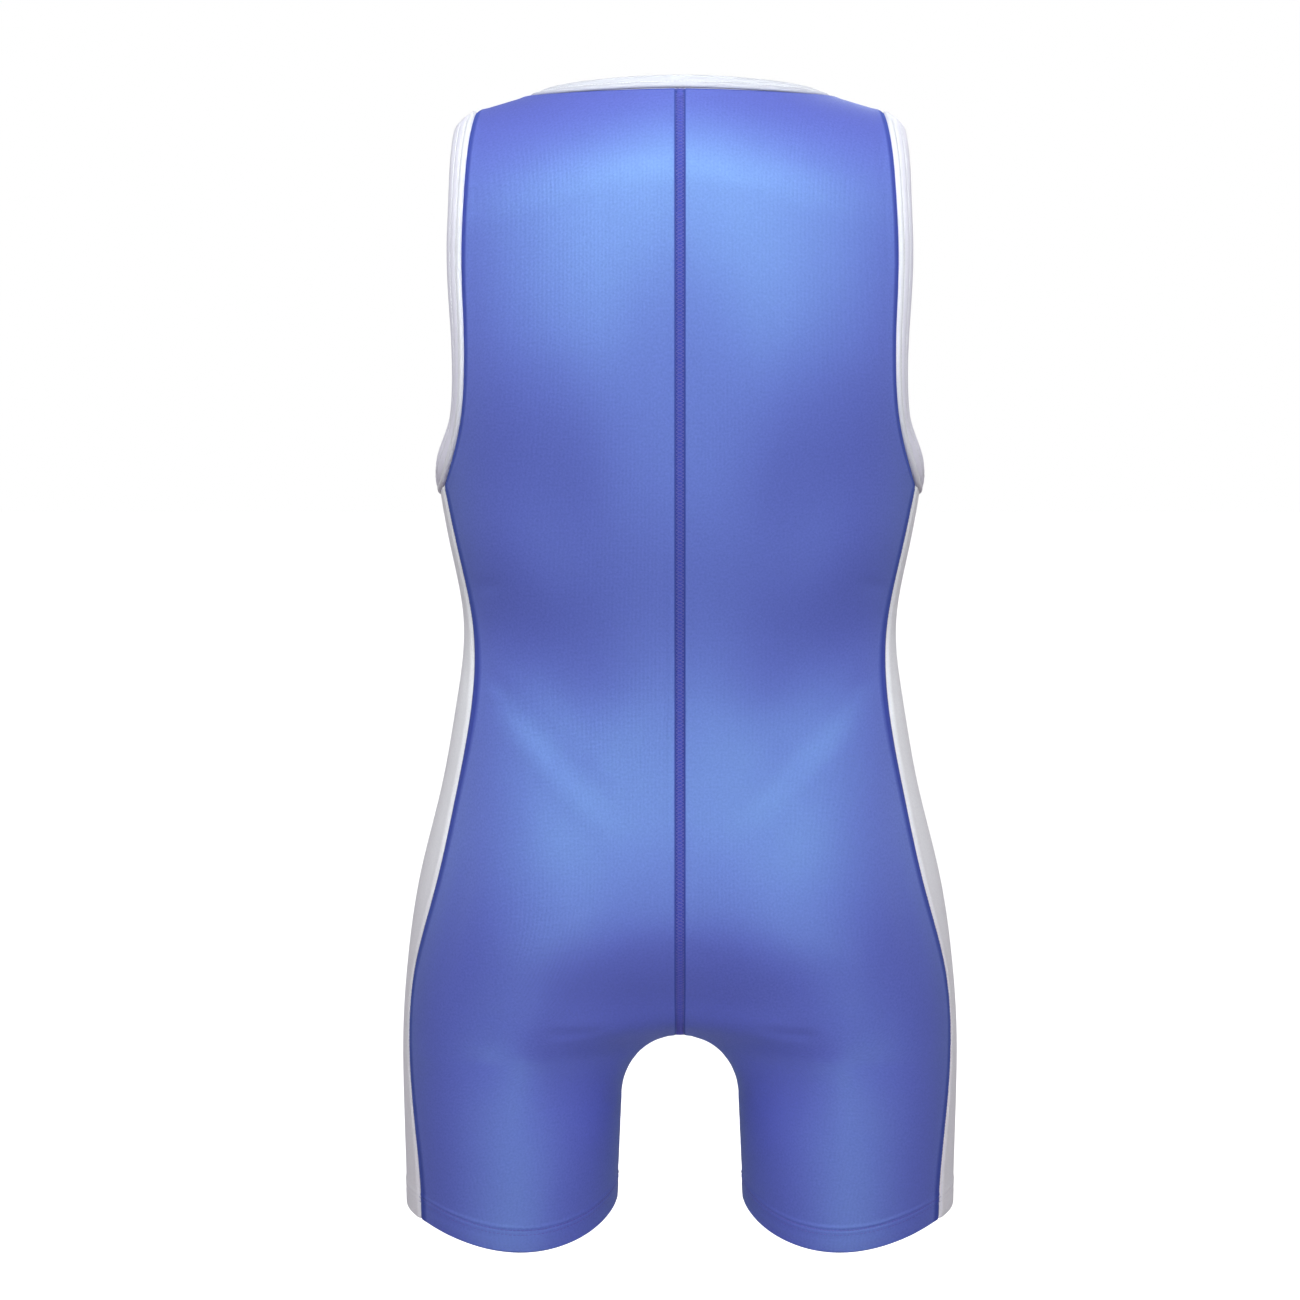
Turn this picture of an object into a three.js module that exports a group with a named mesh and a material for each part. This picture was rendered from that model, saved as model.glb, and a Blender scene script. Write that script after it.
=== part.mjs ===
import * as THREE from 'three';

// An athletic singlet, filled out as it is worn: two back panels, one front panel, two side
// panels, a neck binding and two armhole bindings, each a thin closed wall.
// Millimetres, +Z up. The back faces -Y, and the origin is between the straps, on the shoulders.

// Driving dimensions: cloth
const clothWall = 1.5;
const hemWall = 3;
const hemFold = 18;
const bandWall = 2.2;
const seamGap = 0.3;
const neckBandWidth = 10;
const armBandWidth = 18;
const armBandCurl = 3.5;

// Driving dimensions: shoulders and neck. A strap's crest is a line at y = 0 that falls outwards.
const crestAtCentre = 21.8;
const crestSlope = 0.305;
const crestRounding = 40;
const shoulderDrop = 90;
const crestLevelsOut = 250;
const neckHalfWidth = 104;
const backNeckHeight = -1.8;
const frontNeckDrop = 118;
const neckSquareness = 2.4;
const strapSeamTurn = 0.15;
const napeBandTilt = 0.5;

// Driving dimensions: seat, crotch and legs
const armpitDown = 268;
const armpitDip = 7;
const crotchDown = 658;
const crotchRowDrop = 60;
const seatHeight = 195;
const seatPower = 2.4;
const archHeight = 45;
const archHalfWidth = 42;
const archSpread = 0.045;
const legCentre = 120;
const legsBegin = 363;
const legsFull = 700;
const legRounding = 80;
const torsoSquareness = 2.3;
const legSquareness = 2.05;
const hemDown = 778;
const hemDipAtBack = 12;

// Level sections of the body of the garment: how far down, half width, depth behind and in front
const sections = [
  { down: 0, side: 186, back: 92, front: 80 },
  { down: 70, side: 187, back: 100, front: 92 },
  { down: 140, side: 183, back: 106, front: 108 },
  { down: 210, side: 175, back: 102, front: 112 },
  { down: 268, side: 166.5, back: 94, front: 108 },
  { down: 310, side: 158.5, back: 87, front: 102 },
  { down: 363, side: 149.4, back: 80, front: 95 },
  { down: 420, side: 155, back: 84, front: 96 },
  { down: 480, side: 166.3, back: 99, front: 99 },
  { down: 540, side: 182, back: 116, front: 99 },
  { down: 600, side: 192.6, back: 116, front: 96 },
  { down: 650, side: 196.6, back: 101, front: 92 },
  { down: 700, side: 196.8, back: 92, front: 88 },
  { down: 750, side: 195.8, back: 87, front: 85 },
  { down: 790, side: 195, back: 86, front: 84 },
];

// Outer edge of the back and front panels: the armhole seam, then the side seam
const armholeSeam = [
  { down: 0, back: 140, front: 140 },
  { down: 25, back: 143, front: 139 },
  { down: 60, back: 145, front: 135 },
  { down: 105, back: 146.5, front: 129 },
  { down: 150, back: 145.3, front: 127 },
  { down: 190, back: 145.6, front: 130 },
  { down: 220, back: 148.5, front: 138 },
  { down: 245, back: 153.5, front: 148 },
  { down: 268, back: 161, front: 160 },
];
const sideSeam = [
  { down: 268, back: 161, front: 160 },
  { down: 310, back: 151.5, front: 151 },
  { down: 363, back: 141.2, front: 141 },
  { down: 420, back: 142.2, front: 143 },
  { down: 480, back: 152.8, front: 153 },
  { down: 540, back: 167, front: 167 },
  { down: 600, back: 184, front: 183 },
  { down: 650, back: 189, front: 188 },
  { down: 700, back: 186.6, front: 186 },
  { down: 750, back: 182, front: 182 },
  { down: 790, back: 180.4, front: 180.4 },
];

// The soft fold under each half of the seat: its middle, half length, half height and depth
const seatFold = { x: 58, down: 628, reach: 36, high: 9, deep: 3.2 };

// Grid of a half panel
const panelColumns = 10;
const strapColumn = 7;
const rowsToArmpit = 12;
const rowsToSeatFold = 14;
const seatFoldRowStep = 8;
const seatFoldRows = 4;
const rowsUnderSeat = 4;
const rowsToHem = 8;
const strapRows = 2;
const sideColumns = 6;
const sectionSteps = 48;

const blueKnit = { color: 0x5468d0, roughness: 0.62, metalness: 0 };
const whiteKnit = { color: 0xe4e4ec, roughness: 0.6, metalness: 0 };

const BACK = -1;
const FRONT = 1;

// A smooth curve through one column of a table, with the least bending and free ends
function curveThrough(table, column) {
  const x = table.map((row) => row.down);
  const y = table.map((row) => row[column]);
  const last = x.length - 1;
  const bend = new Array(last + 1).fill(0);
  const upper = new Array(last + 1).fill(0);
  for (let i = 1; i < last; i += 1) {
    const before = x[i] - x[i - 1];
    const after = x[i + 1] - x[i];
    const jump = 6 * ((y[i + 1] - y[i]) / after - (y[i] - y[i - 1]) / before);
    const pivot = 2 * (before + after) - before * upper[i - 1];
    upper[i] = after / pivot;
    bend[i] = (jump - before * bend[i - 1]) / pivot;
  }
  for (let i = last - 1; i > 0; i -= 1) bend[i] -= upper[i] * bend[i + 1];
  return (at) => {
    let i = 0;
    while (i < last - 1 && at > x[i + 1]) i += 1;
    const span = x[i + 1] - x[i];
    const b = (at - x[i]) / span;
    const a = 1 - b;
    const bow = ((a ** 3 - a) * bend[i] + (b ** 3 - b) * bend[i + 1]) * span * span / 6;
    return a * y[i] + b * y[i + 1] + bow;
  };
}

const halfWidth = curveThrough(sections, 'side');
const depth = { [BACK]: curveThrough(sections, 'back'), [FRONT]: curveThrough(sections, 'front') };
const armholeX = { [BACK]: curveThrough(armholeSeam, 'back'), [FRONT]: curveThrough(armholeSeam, 'front') };
const sideX = { [BACK]: curveThrough(sideSeam, 'back'), [FRONT]: curveThrough(sideSeam, 'front') };

function smoothStep(from, to, at) {
  const t = Math.min(1, Math.max(0, (at - from) / (to - from)));
  return t * t * (3 - 2 * t);
}

function panelEdgeX(face, down) {
  return down < armpitDown ? armholeX[face](down) : sideX[face](down);
}

// Half of the gap between the legs, at a level below the crotch
function legGap(down) {
  if (down <= crotchDown) return 0;
  const t = Math.min(1, (down - crotchDown) / archHeight);
  const spread = archSpread * Math.max(0, down - crotchDown - archHeight);
  return archHalfWidth * Math.sqrt(1 - (1 - t) ** 2) + spread;
}

// How far the section is pinched in at the middle: 0 at the waist, 1 from the crotch down
function pinch(down) {
  const t = Math.min(1, Math.max(0, (crotchDown - down) / seatHeight));
  return (1 - t) ** seatPower;
}

// A level section's sizes at one height
function sectionAt(face, down) {
  const legs = smoothStep(legsBegin, legsFull, down);
  return {
    side: halfWidth(down),
    deep: depth[face](down),
    centre: legCentre * legs,
    power: 2 / (torsoSquareness + (legSquareness - torsoSquareness) * legs),
    gap: legGap(down),
    pinched: pinch(down),
    legRound: smoothStep(crotchDown, crotchDown + legRounding, down),
  };
}

// A point of a section: turn 0 is the middle or inseam, 1 the leg's centre, 2 the side
function sectionPoint(size, turn) {
  if (turn >= 1) {
    const angle = (turn - 1) * Math.PI / 2;
    const across = Math.max(0, Math.sin(angle)) ** size.power;
    const deep = Math.max(0, Math.cos(angle)) ** size.power;
    return [size.centre + (size.side - size.centre) * across, size.deep * deep];
  }
  const span = size.centre ** 2 - size.gap ** 2;
  const x = Math.sqrt(size.gap ** 2 + span * turn ** 2);
  if (size.centre < 1e-6) return [0, size.deep];
  const saddle = 1 - turn ** 2;
  const round = (size.centre - x) / (size.centre - size.gap);
  const inward = saddle + (round - saddle) * size.legRound;
  return [x, size.deep * Math.sqrt(Math.max(0, 1 - size.pinched * inward ** 2))];
}

// Length along a section from the middle, at each of its steps
function sectionLengths(size) {
  const lengths = [0];
  let before = sectionPoint(size, 0);
  for (let i = 1; i <= sectionSteps; i += 1) {
    const here = sectionPoint(size, 2 * i / sectionSteps);
    lengths.push(lengths[i - 1] + Math.hypot(here[0] - before[0], here[1] - before[1]));
    before = here;
  }
  return lengths;
}

function turnAtLength(lengths, length) {
  let i = 0;
  while (i < sectionSteps - 1 && lengths[i + 1] <= length) i += 1;
  const step = Math.max(1e-9, lengths[i + 1] - lengths[i]);
  return 2 * (i + (length - lengths[i]) / step) / sectionSteps;
}

function lengthAtTurn(lengths, turn) {
  const place = turn * sectionSteps / 2;
  const i = Math.min(sectionSteps - 1, Math.floor(place));
  return lengths[i] + (lengths[i + 1] - lengths[i]) * (place - i);
}

// The turn at which a section is x wide
function turnAtX(size, x) {
  const across = Math.max(0, (x - size.centre) / (size.side - size.centre));
  return 1 + Math.asin(Math.min(1, across ** (1 / size.power))) * 2 / Math.PI;
}

function crestHeight(x) {
  return crestAtCentre - crestSlope * (Math.hypot(x, crestRounding) - crestRounding);
}

// How far the sections are lifted there, so that their tops follow the crest
function crestLift(x, down) {
  return crestHeight(x) * (1 - smoothStep(shoulderDrop, crestLevelsOut, down));
}

// The section that passes through a height, at one distance from the middle
function downAtHeight(x, height) {
  let down = -height;
  for (let i = 0; i < 30; i += 1) down = crestLift(x, down) - height;
  return Math.max(0, down);
}

// Over the shoulder, rows are spaced by angle, so that they stay even where the cloth turns
function downAtTurn(turn) {
  const angle = Math.abs(turn);
  const quarter = Math.PI / 2;
  if (angle < quarter) return shoulderDrop * (1 - Math.cos(angle));
  return shoulderDrop * (1 + angle - quarter);
}

function shoulderTurnAt(down) {
  if (down < shoulderDrop) return Math.acos(1 - down / shoulderDrop);
  return Math.PI / 2 + down / shoulderDrop - 1;
}

function seatFoldDepth(face, x, down) {
  if (face === FRONT) return 0;
  const along = (x - seatFold.x) / seatFold.reach;
  const across = (down - seatFold.down) / seatFold.high;
  return seatFold.deep * Math.exp(-(along ** 4) - across ** 2);
}

// A point of the cloth's outer face on the right half
function clothPoint(face, turn, down) {
  const [x, full] = sectionPoint(sectionAt(face, down), turn);
  const deep = full - seatFoldDepth(face, x, down);
  const over = Math.sqrt(1 - Math.max(0, 1 - down / shoulderDrop) ** 2);
  return new THREE.Vector3(x, face * deep * over, crestLift(x, down) - down);
}

// The outward direction there, from the slopes along and across the section
function clothNormal(face, turn, down) {
  if (turn < 1e-6 && down >= crotchDown) {
    const slope = (legGap(down + 0.5) - legGap(Math.max(crotchDown, down - 0.5)));
    const flat = down < crotchDown + 1e-6 ? 0 : -1;
    return new THREE.Vector3(flat, 0, -Math.max(slope, 1e-3)).normalize();
  }
  const stepTurn = 0.004;
  const stepDown = down < 4 ? 0.02 : 0.5;
  const turnLow = Math.max(0, turn - stepTurn);
  const turnHigh = Math.min(2, turn + stepTurn);
  const downLow = Math.max(0, down - stepDown);
  const across = clothPoint(face, turnHigh, down).sub(clothPoint(face, turnLow, down));
  const along = clothPoint(face, turn, downLow).sub(clothPoint(face, turn, down + stepDown));
  const normal = across.cross(along).multiplyScalar(-face);
  if (clothPoint(face, turn, down).x < 1e-6) normal.x = 0;
  if (turn > 2 - 1e-6) normal.y = 0;
  if (down < 1e-6) normal.y = 0;
  return normal.normalize();
}

// A spot on the garment: its place on the outer face and its outward direction
function spotAtLength(face, fraction, down, inFrom, inTo) {
  const size = sectionAt(face, down);
  const lengths = sectionLengths(size);
  const edge = lengthAtTurn(lengths, turnAtX(size, panelEdgeX(face, down)));
  const length = inFrom + (edge - inFrom - inTo) * fraction;
  const turn = turnAtLength(lengths, length);
  return { point: clothPoint(face, turn, down), normal: clothNormal(face, turn, down) };
}

function fractionAtX(face, x, down) {
  const size = sectionAt(face, down);
  const lengths = sectionLengths(size);
  const edge = lengthAtTurn(lengths, turnAtX(size, panelEdgeX(face, down)));
  return lengthAtTurn(lengths, turnAtX(size, x)) / edge;
}

// Where the top of each column lies: along the neck edge, then across the strap
function columnTop(face, column) {
  if (column >= strapColumn) {
    const across = (column - strapColumn) / (panelColumns - strapColumn);
    const strapX = neckHalfWidth + (panelEdgeX(face, 0) - neckHalfWidth) * across;
    return { x: strapX, turn: face === BACK ? 0 : strapSeamTurn };
  }
  const along = column / strapColumn;
  if (face === BACK) {
    const x = neckHalfWidth * Math.sin(along * Math.PI / 2);
    const rise = crestHeight(neckHalfWidth) - backNeckHeight;
    const height = backNeckHeight + rise * (x / neckHalfWidth) ** 4;
    return { x, turn: shoulderTurnAt(downAtHeight(x, height)) };
  }
  const angle = along * Math.PI / 2;
  const power = 2 / neckSquareness;
  const x = neckHalfWidth * Math.sin(angle) ** power;
  const height = -frontNeckDrop * Math.cos(angle) ** power;
  return { x, turn: shoulderTurnAt(downAtHeight(x, height)) };
}

function hemDownAt(face, fraction) {
  return hemDown + (face === BACK ? hemDipAtBack * Math.sin(Math.PI * fraction) ** 2 : 0);
}

// How far down each row of a half panel lies, for one column
function rowDowns(face, column) {
  const top = columnTop(face, column).turn;
  const inward = (1 - column / panelColumns) ** 2;
  const crotchRow = crotchDown + crotchRowDrop * (1 - inward);
  const crowd = 1 + 0.6 * inward;
  const hem = hemDownAt(face, column / panelColumns);
  const downs = [];
  for (let i = 0; i < rowsToArmpit; i += 1) {
    const armpitTurn = shoulderTurnAt(armpitDown);
    downs.push(downAtTurn(top + (armpitTurn - top) * i / rowsToArmpit));
  }
  const foldTop = seatFold.down - seatFoldRowStep * seatFoldRows / 2;
  for (let i = 0; i < rowsToSeatFold; i += 1) {
    downs.push(armpitDown + (foldTop - armpitDown) * i / rowsToSeatFold);
  }
  for (let i = 0; i < seatFoldRows; i += 1) downs.push(foldTop + seatFoldRowStep * i);
  const foldEnd = foldTop + seatFoldRowStep * seatFoldRows;
  for (let i = 0; i < rowsUnderSeat; i += 1) {
    const along = 1 - (1 - i / rowsUnderSeat) ** crowd;
    downs.push(foldEnd + (crotchRow - foldEnd) * along);
  }
  for (let i = 0; i < rowsToHem; i += 1) {
    const along = (i / rowsToHem) ** (1 + inward);
    downs.push(crotchRow + (hem - hemFold - crotchRow) * along);
  }
  downs.push(hem - hemFold, hem - hemFold + 1, hem);
  return downs;
}

const crotchRowIndex = rowsToArmpit + rowsToSeatFold + seatFoldRows + rowsUnderSeat;
const foldRowIndex = crotchRowIndex + rowsToHem;

// The spot at a row and column of a half panel, kept off its seams by the two insets
function panelSpot(face, column, row, inFrom, inTo) {
  const down = rowDowns(face, column)[row];
  const even = column / panelColumns;
  let fraction = even;
  if (down < armpitDown) {
    const top = columnTop(face, column);
    const topDown = downAtTurn(top.turn);
    const atTop = column === panelColumns ? 1 : fractionAtX(face, top.x, topDown);
    const settle = (down - topDown) / (armpitDown - topDown);
    fraction = atTop + (even - atTop) * settle;
  }
  return spotAtLength(face, fraction, down, inFrom, inTo);
}

// A strap's short run over the crest, from the back panel to its seam in front
function strapSpot(column, step, inTo) {
  const turn = strapSeamTurn * step / strapRows - (step === strapRows ? seamGap / shoulderDrop : 0);
  const down = downAtTurn(turn);
  const fraction = fractionAtX(FRONT, columnTop(BACK, column).x, down);
  return spotAtLength(FRONT, Math.min(1, fraction), down, 0, inTo);
}

// A patch of cloth: spots on its outer face and the quads between them
class Patch {
  constructor() {
    this.spots = [];
    this.quads = [];
  }

  add(spot, wall, mirror) {
    const point = spot.point.clone();
    const normal = spot.normal.clone();
    if (mirror) {
      point.x = -point.x;
      normal.x = -normal.x;
    }
    this.spots.push({ point, normal, wall });
    return this.spots.length - 1;
  }

  // A grid of spot numbers, wound so that its faces point out
  addGrid(rows, flip) {
    for (let r = 0; r + 1 < rows.length; r += 1) {
      for (let c = 0; c + 1 < rows[r].length; c += 1) {
        const quad = [rows[r][c], rows[r + 1][c], rows[r + 1][c + 1], rows[r][c + 1]];
        if (quad.some((number) => number === undefined)) continue;
        this.quads.push(flip ? quad.reverse() : quad);
      }
    }
  }

  // The closed wall: the outer face, the inner face and a rim along every open edge
  solid(material, name) {
    const count = this.spots.length;
    const corners = [];
    const push = (point) => corners.push(point.x, point.y, point.z);
    for (const spot of this.spots) push(spot.point);
    for (const spot of this.spots) push(spot.point.clone().addScaledVector(spot.normal, -spot.wall));
    const faces = [];
    const edges = new Map();
    for (const [a, b, c, d] of this.quads) {
      const diagonal = this.spots[a].point.distanceTo(this.spots[c].point);
      const other = this.spots[b].point.distanceTo(this.spots[d].point);
      const halves = diagonal <= other ? [[a, b, c], [a, c, d]] : [[a, b, d], [b, c, d]];
      for (const [p, q, r] of halves) {
        faces.push(p, q, r, p + count, r + count, q + count);
      }
      for (const [p, q] of [[a, b], [b, c], [c, d], [d, a]]) {
        if (edges.has(`${q} ${p}`)) edges.delete(`${q} ${p}`);
        else edges.set(`${p} ${q}`, [p, q]);
      }
    }
    for (const [p, q] of edges.values()) {
      faces.push(p, p + count, q, q, p + count, q + count);
    }
    const geometry = new THREE.BufferGeometry();
    geometry.setAttribute('position', new THREE.Float32BufferAttribute(corners, 3));
    geometry.setIndex(faces);
    geometry.computeVertexNormals();
    const mesh = new THREE.Mesh(geometry, new THREE.MeshStandardMaterial(material));
    mesh.name = name;
    return mesh;
  }
}

function wallAtRow(row) {
  return row > foldRowIndex ? hemWall : clothWall;
}

// Half of a back or front panel, added to a patch
function addHalfPanel(patch, face, mirror, middleInset, sharedMiddle) {
  const rows = [];
  const rowCount = rowDowns(face, 0).length;
  for (let row = 0; row < rowCount; row += 1) {
    const numbers = [];
    const inset = row > crotchRowIndex ? seamGap / 2 : middleInset;
    for (let column = 0; column <= panelColumns; column += 1) {
      const shared = sharedMiddle[row];
      if (column === 0 && row < crotchRowIndex && shared !== undefined) {
        numbers.push(shared);
        continue;
      }
      const outer = row < rowsToArmpit ? 0 : seamGap / 2;
      const spot = panelSpot(face, column, row, inset, outer);
      const number = patch.add(spot, wallAtRow(row), mirror);
      if (column === 0) sharedMiddle[row] = number;
      numbers.push(number);
    }
    rows.push(numbers);
  }
  patch.addGrid(rows, mirror !== (face === FRONT));
  return rows;
}

function makeBack(mirror, name) {
  const patch = new Patch();
  const rows = addHalfPanel(patch, BACK, mirror, seamGap / 2, []);
  const strap = [rows[0].slice(strapColumn)];
  for (let step = 1; step <= strapRows; step += 1) {
    const numbers = [];
    for (let column = strapColumn; column <= panelColumns; column += 1) {
      numbers.push(patch.add(strapSpot(column, step, 0), clothWall, mirror));
    }
    strap.unshift(numbers);
  }
  patch.addGrid(strap, mirror);
  return patch.solid(blueKnit, name);
}

function makeFront(name) {
  const patch = new Patch();
  const middle = [];
  addHalfPanel(patch, FRONT, false, 0, middle);
  addHalfPanel(patch, FRONT, true, 0, middle);
  return patch.solid(blueKnit, name);
}

// The side seam's length from the side of the garment, at one level
function sideReach(face, down) {
  const size = sectionAt(face, down);
  const lengths = sectionLengths(size);
  const edge = lengthAtTurn(lengths, turnAtX(size, panelEdgeX(face, down)));
  return { lengths, edge, reach: lengths[sectionSteps] - edge };
}

// A spot of the side panel: across runs from 0 at the back seam to 1 at the front seam
function sideSpot(across, down, inset) {
  const back = sideReach(BACK, down);
  const front = sideReach(FRONT, down);
  const along = inset + (back.reach + front.reach - 2 * inset) * across;
  const face = along <= back.reach ? BACK : FRONT;
  const reach = face === BACK ? back.edge + along : front.edge + back.reach + front.reach - along;
  const turn = Math.min(2, turnAtLength(face === BACK ? back.lengths : front.lengths, reach));
  return { point: clothPoint(face, turn, down), normal: clothNormal(face, turn, down) };
}

function makeSide(mirror, name) {
  const patch = new Patch();
  const seamDowns = rowDowns(BACK, panelColumns).slice(rowsToArmpit);
  const rows = seamDowns.map((down, row) => {
    const numbers = [];
    for (let column = 0; column <= sideColumns; column += 1) {
      const across = column / sideColumns;
      const dip = armpitDip * Math.sin(Math.PI * across) * Math.max(0, 1 - row / 4);
      const wall = wallAtRow(row + rowsToArmpit);
      numbers.push(patch.add(sideSpot(across, down + dip, seamGap / 2), wall, mirror));
    }
    return numbers;
  });
  patch.addGrid(rows, mirror);
  return patch.solid(whiteKnit, name);
}

// A band sewn to an open edge. Each place on the edge has a spot, and the band runs on from it.
function makeBand(spots, inside, width, curl, tilt, mirror, name) {
  const patch = new Patch();
  const count = spots.length;
  const steps = [0, 0.5, 1];
  const rows = steps.map(() => []);
  let turned = false;
  for (let i = 0; i <= count; i += 1) {
    const here = spots[i % count];
    if (i === count) {
      rows.forEach((numbers) => numbers.push(numbers[0]));
      continue;
    }
    const before = spots[(i + count - 1) % count].point;
    const after = spots[(i + 1) % count].point;
    const edge = after.clone().sub(before).normalize();
    const away = here.normal.clone().cross(edge).normalize();
    if (away.dot(inside.clone().sub(here.point)) < 0) away.negate();
    const lean = tilt(here.point);
    const run = away.clone().multiplyScalar(Math.cos(lean)).addScaledVector(here.normal, Math.sin(lean));
    const face = here.normal.clone().multiplyScalar(Math.cos(lean)).addScaledVector(away, -Math.sin(lean));
    turned = run.clone().cross(edge).dot(face) < 0;
    steps.forEach((step, s) => {
      const point = here.point.clone().addScaledVector(away, seamGap);
      point.addScaledVector(run, (width - seamGap) * step).addScaledVector(face, -curl * step * step);
      const roll = 2 * curl * step / width;
      const normal = face.clone().addScaledVector(run, roll).normalize();
      rows[s].push(patch.add({ point, normal }, bandWall, mirror));
    });
  }
  patch.addGrid(rows, mirror !== turned);
  return patch.solid(whiteKnit, name);
}

// The armhole's edge: over the strap, down the back, under the arm and up the front
function armholeEdge() {
  const spots = [];
  for (let row = 0; row <= rowsToArmpit; row += 1) spots.push(panelSpot(BACK, panelColumns, row, 0, 0));
  for (let column = 1; column < sideColumns; column += 1) {
    const across = column / sideColumns;
    spots.push(sideSpot(across, armpitDown + armpitDip * Math.sin(Math.PI * across), 0));
  }
  for (let row = rowsToArmpit; row >= 0; row -= 1) spots.push(panelSpot(FRONT, panelColumns, row, 0, 0));
  for (let step = strapRows - 1; step >= 1; step -= 1) spots.push(strapSpot(panelColumns, step, 0));
  return spots;
}

// The neck's edge: across the nape, over a strap, round the scoop in front and back over the other
function neckEdge() {
  const half = [];
  for (let column = 0; column <= strapColumn; column += 1) half.push(panelSpot(BACK, column, 0, 0, 0));
  for (let step = 1; step < strapRows; step += 1) half.push(strapSpot(strapColumn, step, 0));
  for (let column = strapColumn; column >= 0; column -= 1) half.push(panelSpot(FRONT, column, 0, 0, 0));
  const other = half.slice(1, -1).reverse().map(({ point, normal }) => ({
    point: new THREE.Vector3(-point.x, point.y, point.z),
    normal: new THREE.Vector3(-normal.x, normal.y, normal.z),
  }));
  return [...half, ...other];
}

const napeDepth = -panelSpot(BACK, 0, 0, 0, 0).point.y;
const standAtNape = (point) => napeBandTilt * Math.max(0, -point.y / napeDepth);
const flat = () => 0;
const armholeMiddle = new THREE.Vector3(150, 0, -140);
const neckMiddle = new THREE.Vector3(0, 20, 0);

const singlet = new THREE.Group();
singlet.add(makeBack(true, 'back_left'));
singlet.add(makeBack(false, 'back_right'));
singlet.add(makeFront('front'));
singlet.add(makeSide(true, 'side_left'));
singlet.add(makeSide(false, 'side_right'));
singlet.add(makeBand(neckEdge(), neckMiddle, neckBandWidth, 0, standAtNape, false, 'neck_binding'));
for (const [mirror, name] of [[true, 'armhole_binding_left'], [false, 'armhole_binding_right']]) {
  singlet.add(makeBand(armholeEdge(), armholeMiddle, armBandWidth, armBandCurl, flat, mirror, name));
}

export default singlet;
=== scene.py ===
import math

import bpy
import numpy as np
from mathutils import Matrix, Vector
from mathutils.kdtree import KDTree


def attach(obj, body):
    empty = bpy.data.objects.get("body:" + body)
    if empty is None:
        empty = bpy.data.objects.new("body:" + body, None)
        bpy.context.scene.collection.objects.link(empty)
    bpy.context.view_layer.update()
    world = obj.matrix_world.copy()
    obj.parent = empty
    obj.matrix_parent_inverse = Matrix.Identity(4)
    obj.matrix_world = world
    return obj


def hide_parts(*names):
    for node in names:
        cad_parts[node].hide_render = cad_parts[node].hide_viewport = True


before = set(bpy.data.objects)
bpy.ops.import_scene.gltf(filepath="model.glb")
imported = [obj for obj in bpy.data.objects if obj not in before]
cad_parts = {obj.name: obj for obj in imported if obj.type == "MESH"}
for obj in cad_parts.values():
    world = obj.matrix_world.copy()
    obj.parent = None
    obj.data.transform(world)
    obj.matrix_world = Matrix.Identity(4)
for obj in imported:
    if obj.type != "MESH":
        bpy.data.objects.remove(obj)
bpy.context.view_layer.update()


# View. It looks at the back from just under the shoulder blades, nearly level, with the whole
# garment in the frame. Sizes here are in metres.
FRAME_PIXELS = 1300
PIXEL_AT_GARMENT = 0.0007046
VIEW_DISTANCE = 1.8
VIEW_PITCH = math.radians(5)
VIEW_CENTRE_HEIGHT = -0.384
MIDDLE_LINE_PIXEL = 680

camera = bpy.data.objects.new("camera", bpy.data.cameras.new("camera"))
camera.location = (
    0,
    -VIEW_DISTANCE * math.cos(VIEW_PITCH),
    VIEW_CENTRE_HEIGHT + VIEW_DISTANCE * math.sin(VIEW_PITCH),
)
camera.rotation_euler = (math.pi / 2 - VIEW_PITCH, 0, 0)
camera.data.lens = camera.data.sensor_width * VIEW_DISTANCE / (FRAME_PIXELS * PIXEL_AT_GARMENT)
camera.data.shift_x = (FRAME_PIXELS / 2 - MIDDLE_LINE_PIXEL) / FRAME_PIXELS
bpy.context.scene.collection.objects.link(camera)
bpy.context.scene.camera = camera


# Studio. A pale plain floor well below the hems and a plain pale world. Three soft lights in a row
# above the camera light the back, a high one the shoulders, and two low ones the seat and the legs.
# One on each side lights the white panels, and one the front. The view shows colours as they are.
FLOOR_HEIGHT = -1.3
FLOOR_REACH = 30
WORLD_SEEN = 1.0
WORLD_LIGHT = 0.26
WORLD_TINT = (0.97, 0.88, 1.0, 1)
WHITE = (1.0, 1.0, 1.0)
GREENISH_WHITE = (0.92, 1.0, 0.98)
PINKISH_WHITE = (1.0, 0.97, 1.0)
VIOLET_WHITE = (0.95, 0.85, 1.0)
PALE_VIOLET = (0.95, 0.92, 1.0)

bpy.context.scene.view_settings.view_transform = "Standard"

world = bpy.data.worlds.new("studio")
world.use_nodes = True
bpy.context.scene.world = world
links = world.node_tree.links
sky = world.node_tree.nodes["Background"]
seen = world.node_tree.nodes.new("ShaderNodeLightPath")
strength = world.node_tree.nodes.new("ShaderNodeMix")
strength.inputs["A"].default_value = WORLD_LIGHT
strength.inputs["B"].default_value = WORLD_SEEN
links.new(seen.outputs["Is Camera Ray"], strength.inputs["Factor"])
links.new(strength.outputs["Result"], sky.inputs["Strength"])
tint = world.node_tree.nodes.new("ShaderNodeMix")
tint.data_type = "RGBA"
tint.inputs["A"].default_value = WORLD_TINT
tint.inputs["B"].default_value = (1.0, 1.0, 1.0, 1)
links.new(seen.outputs["Is Camera Ray"], tint.inputs["Factor"])
links.new(tint.outputs["Result"], sky.inputs["Color"])


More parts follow.
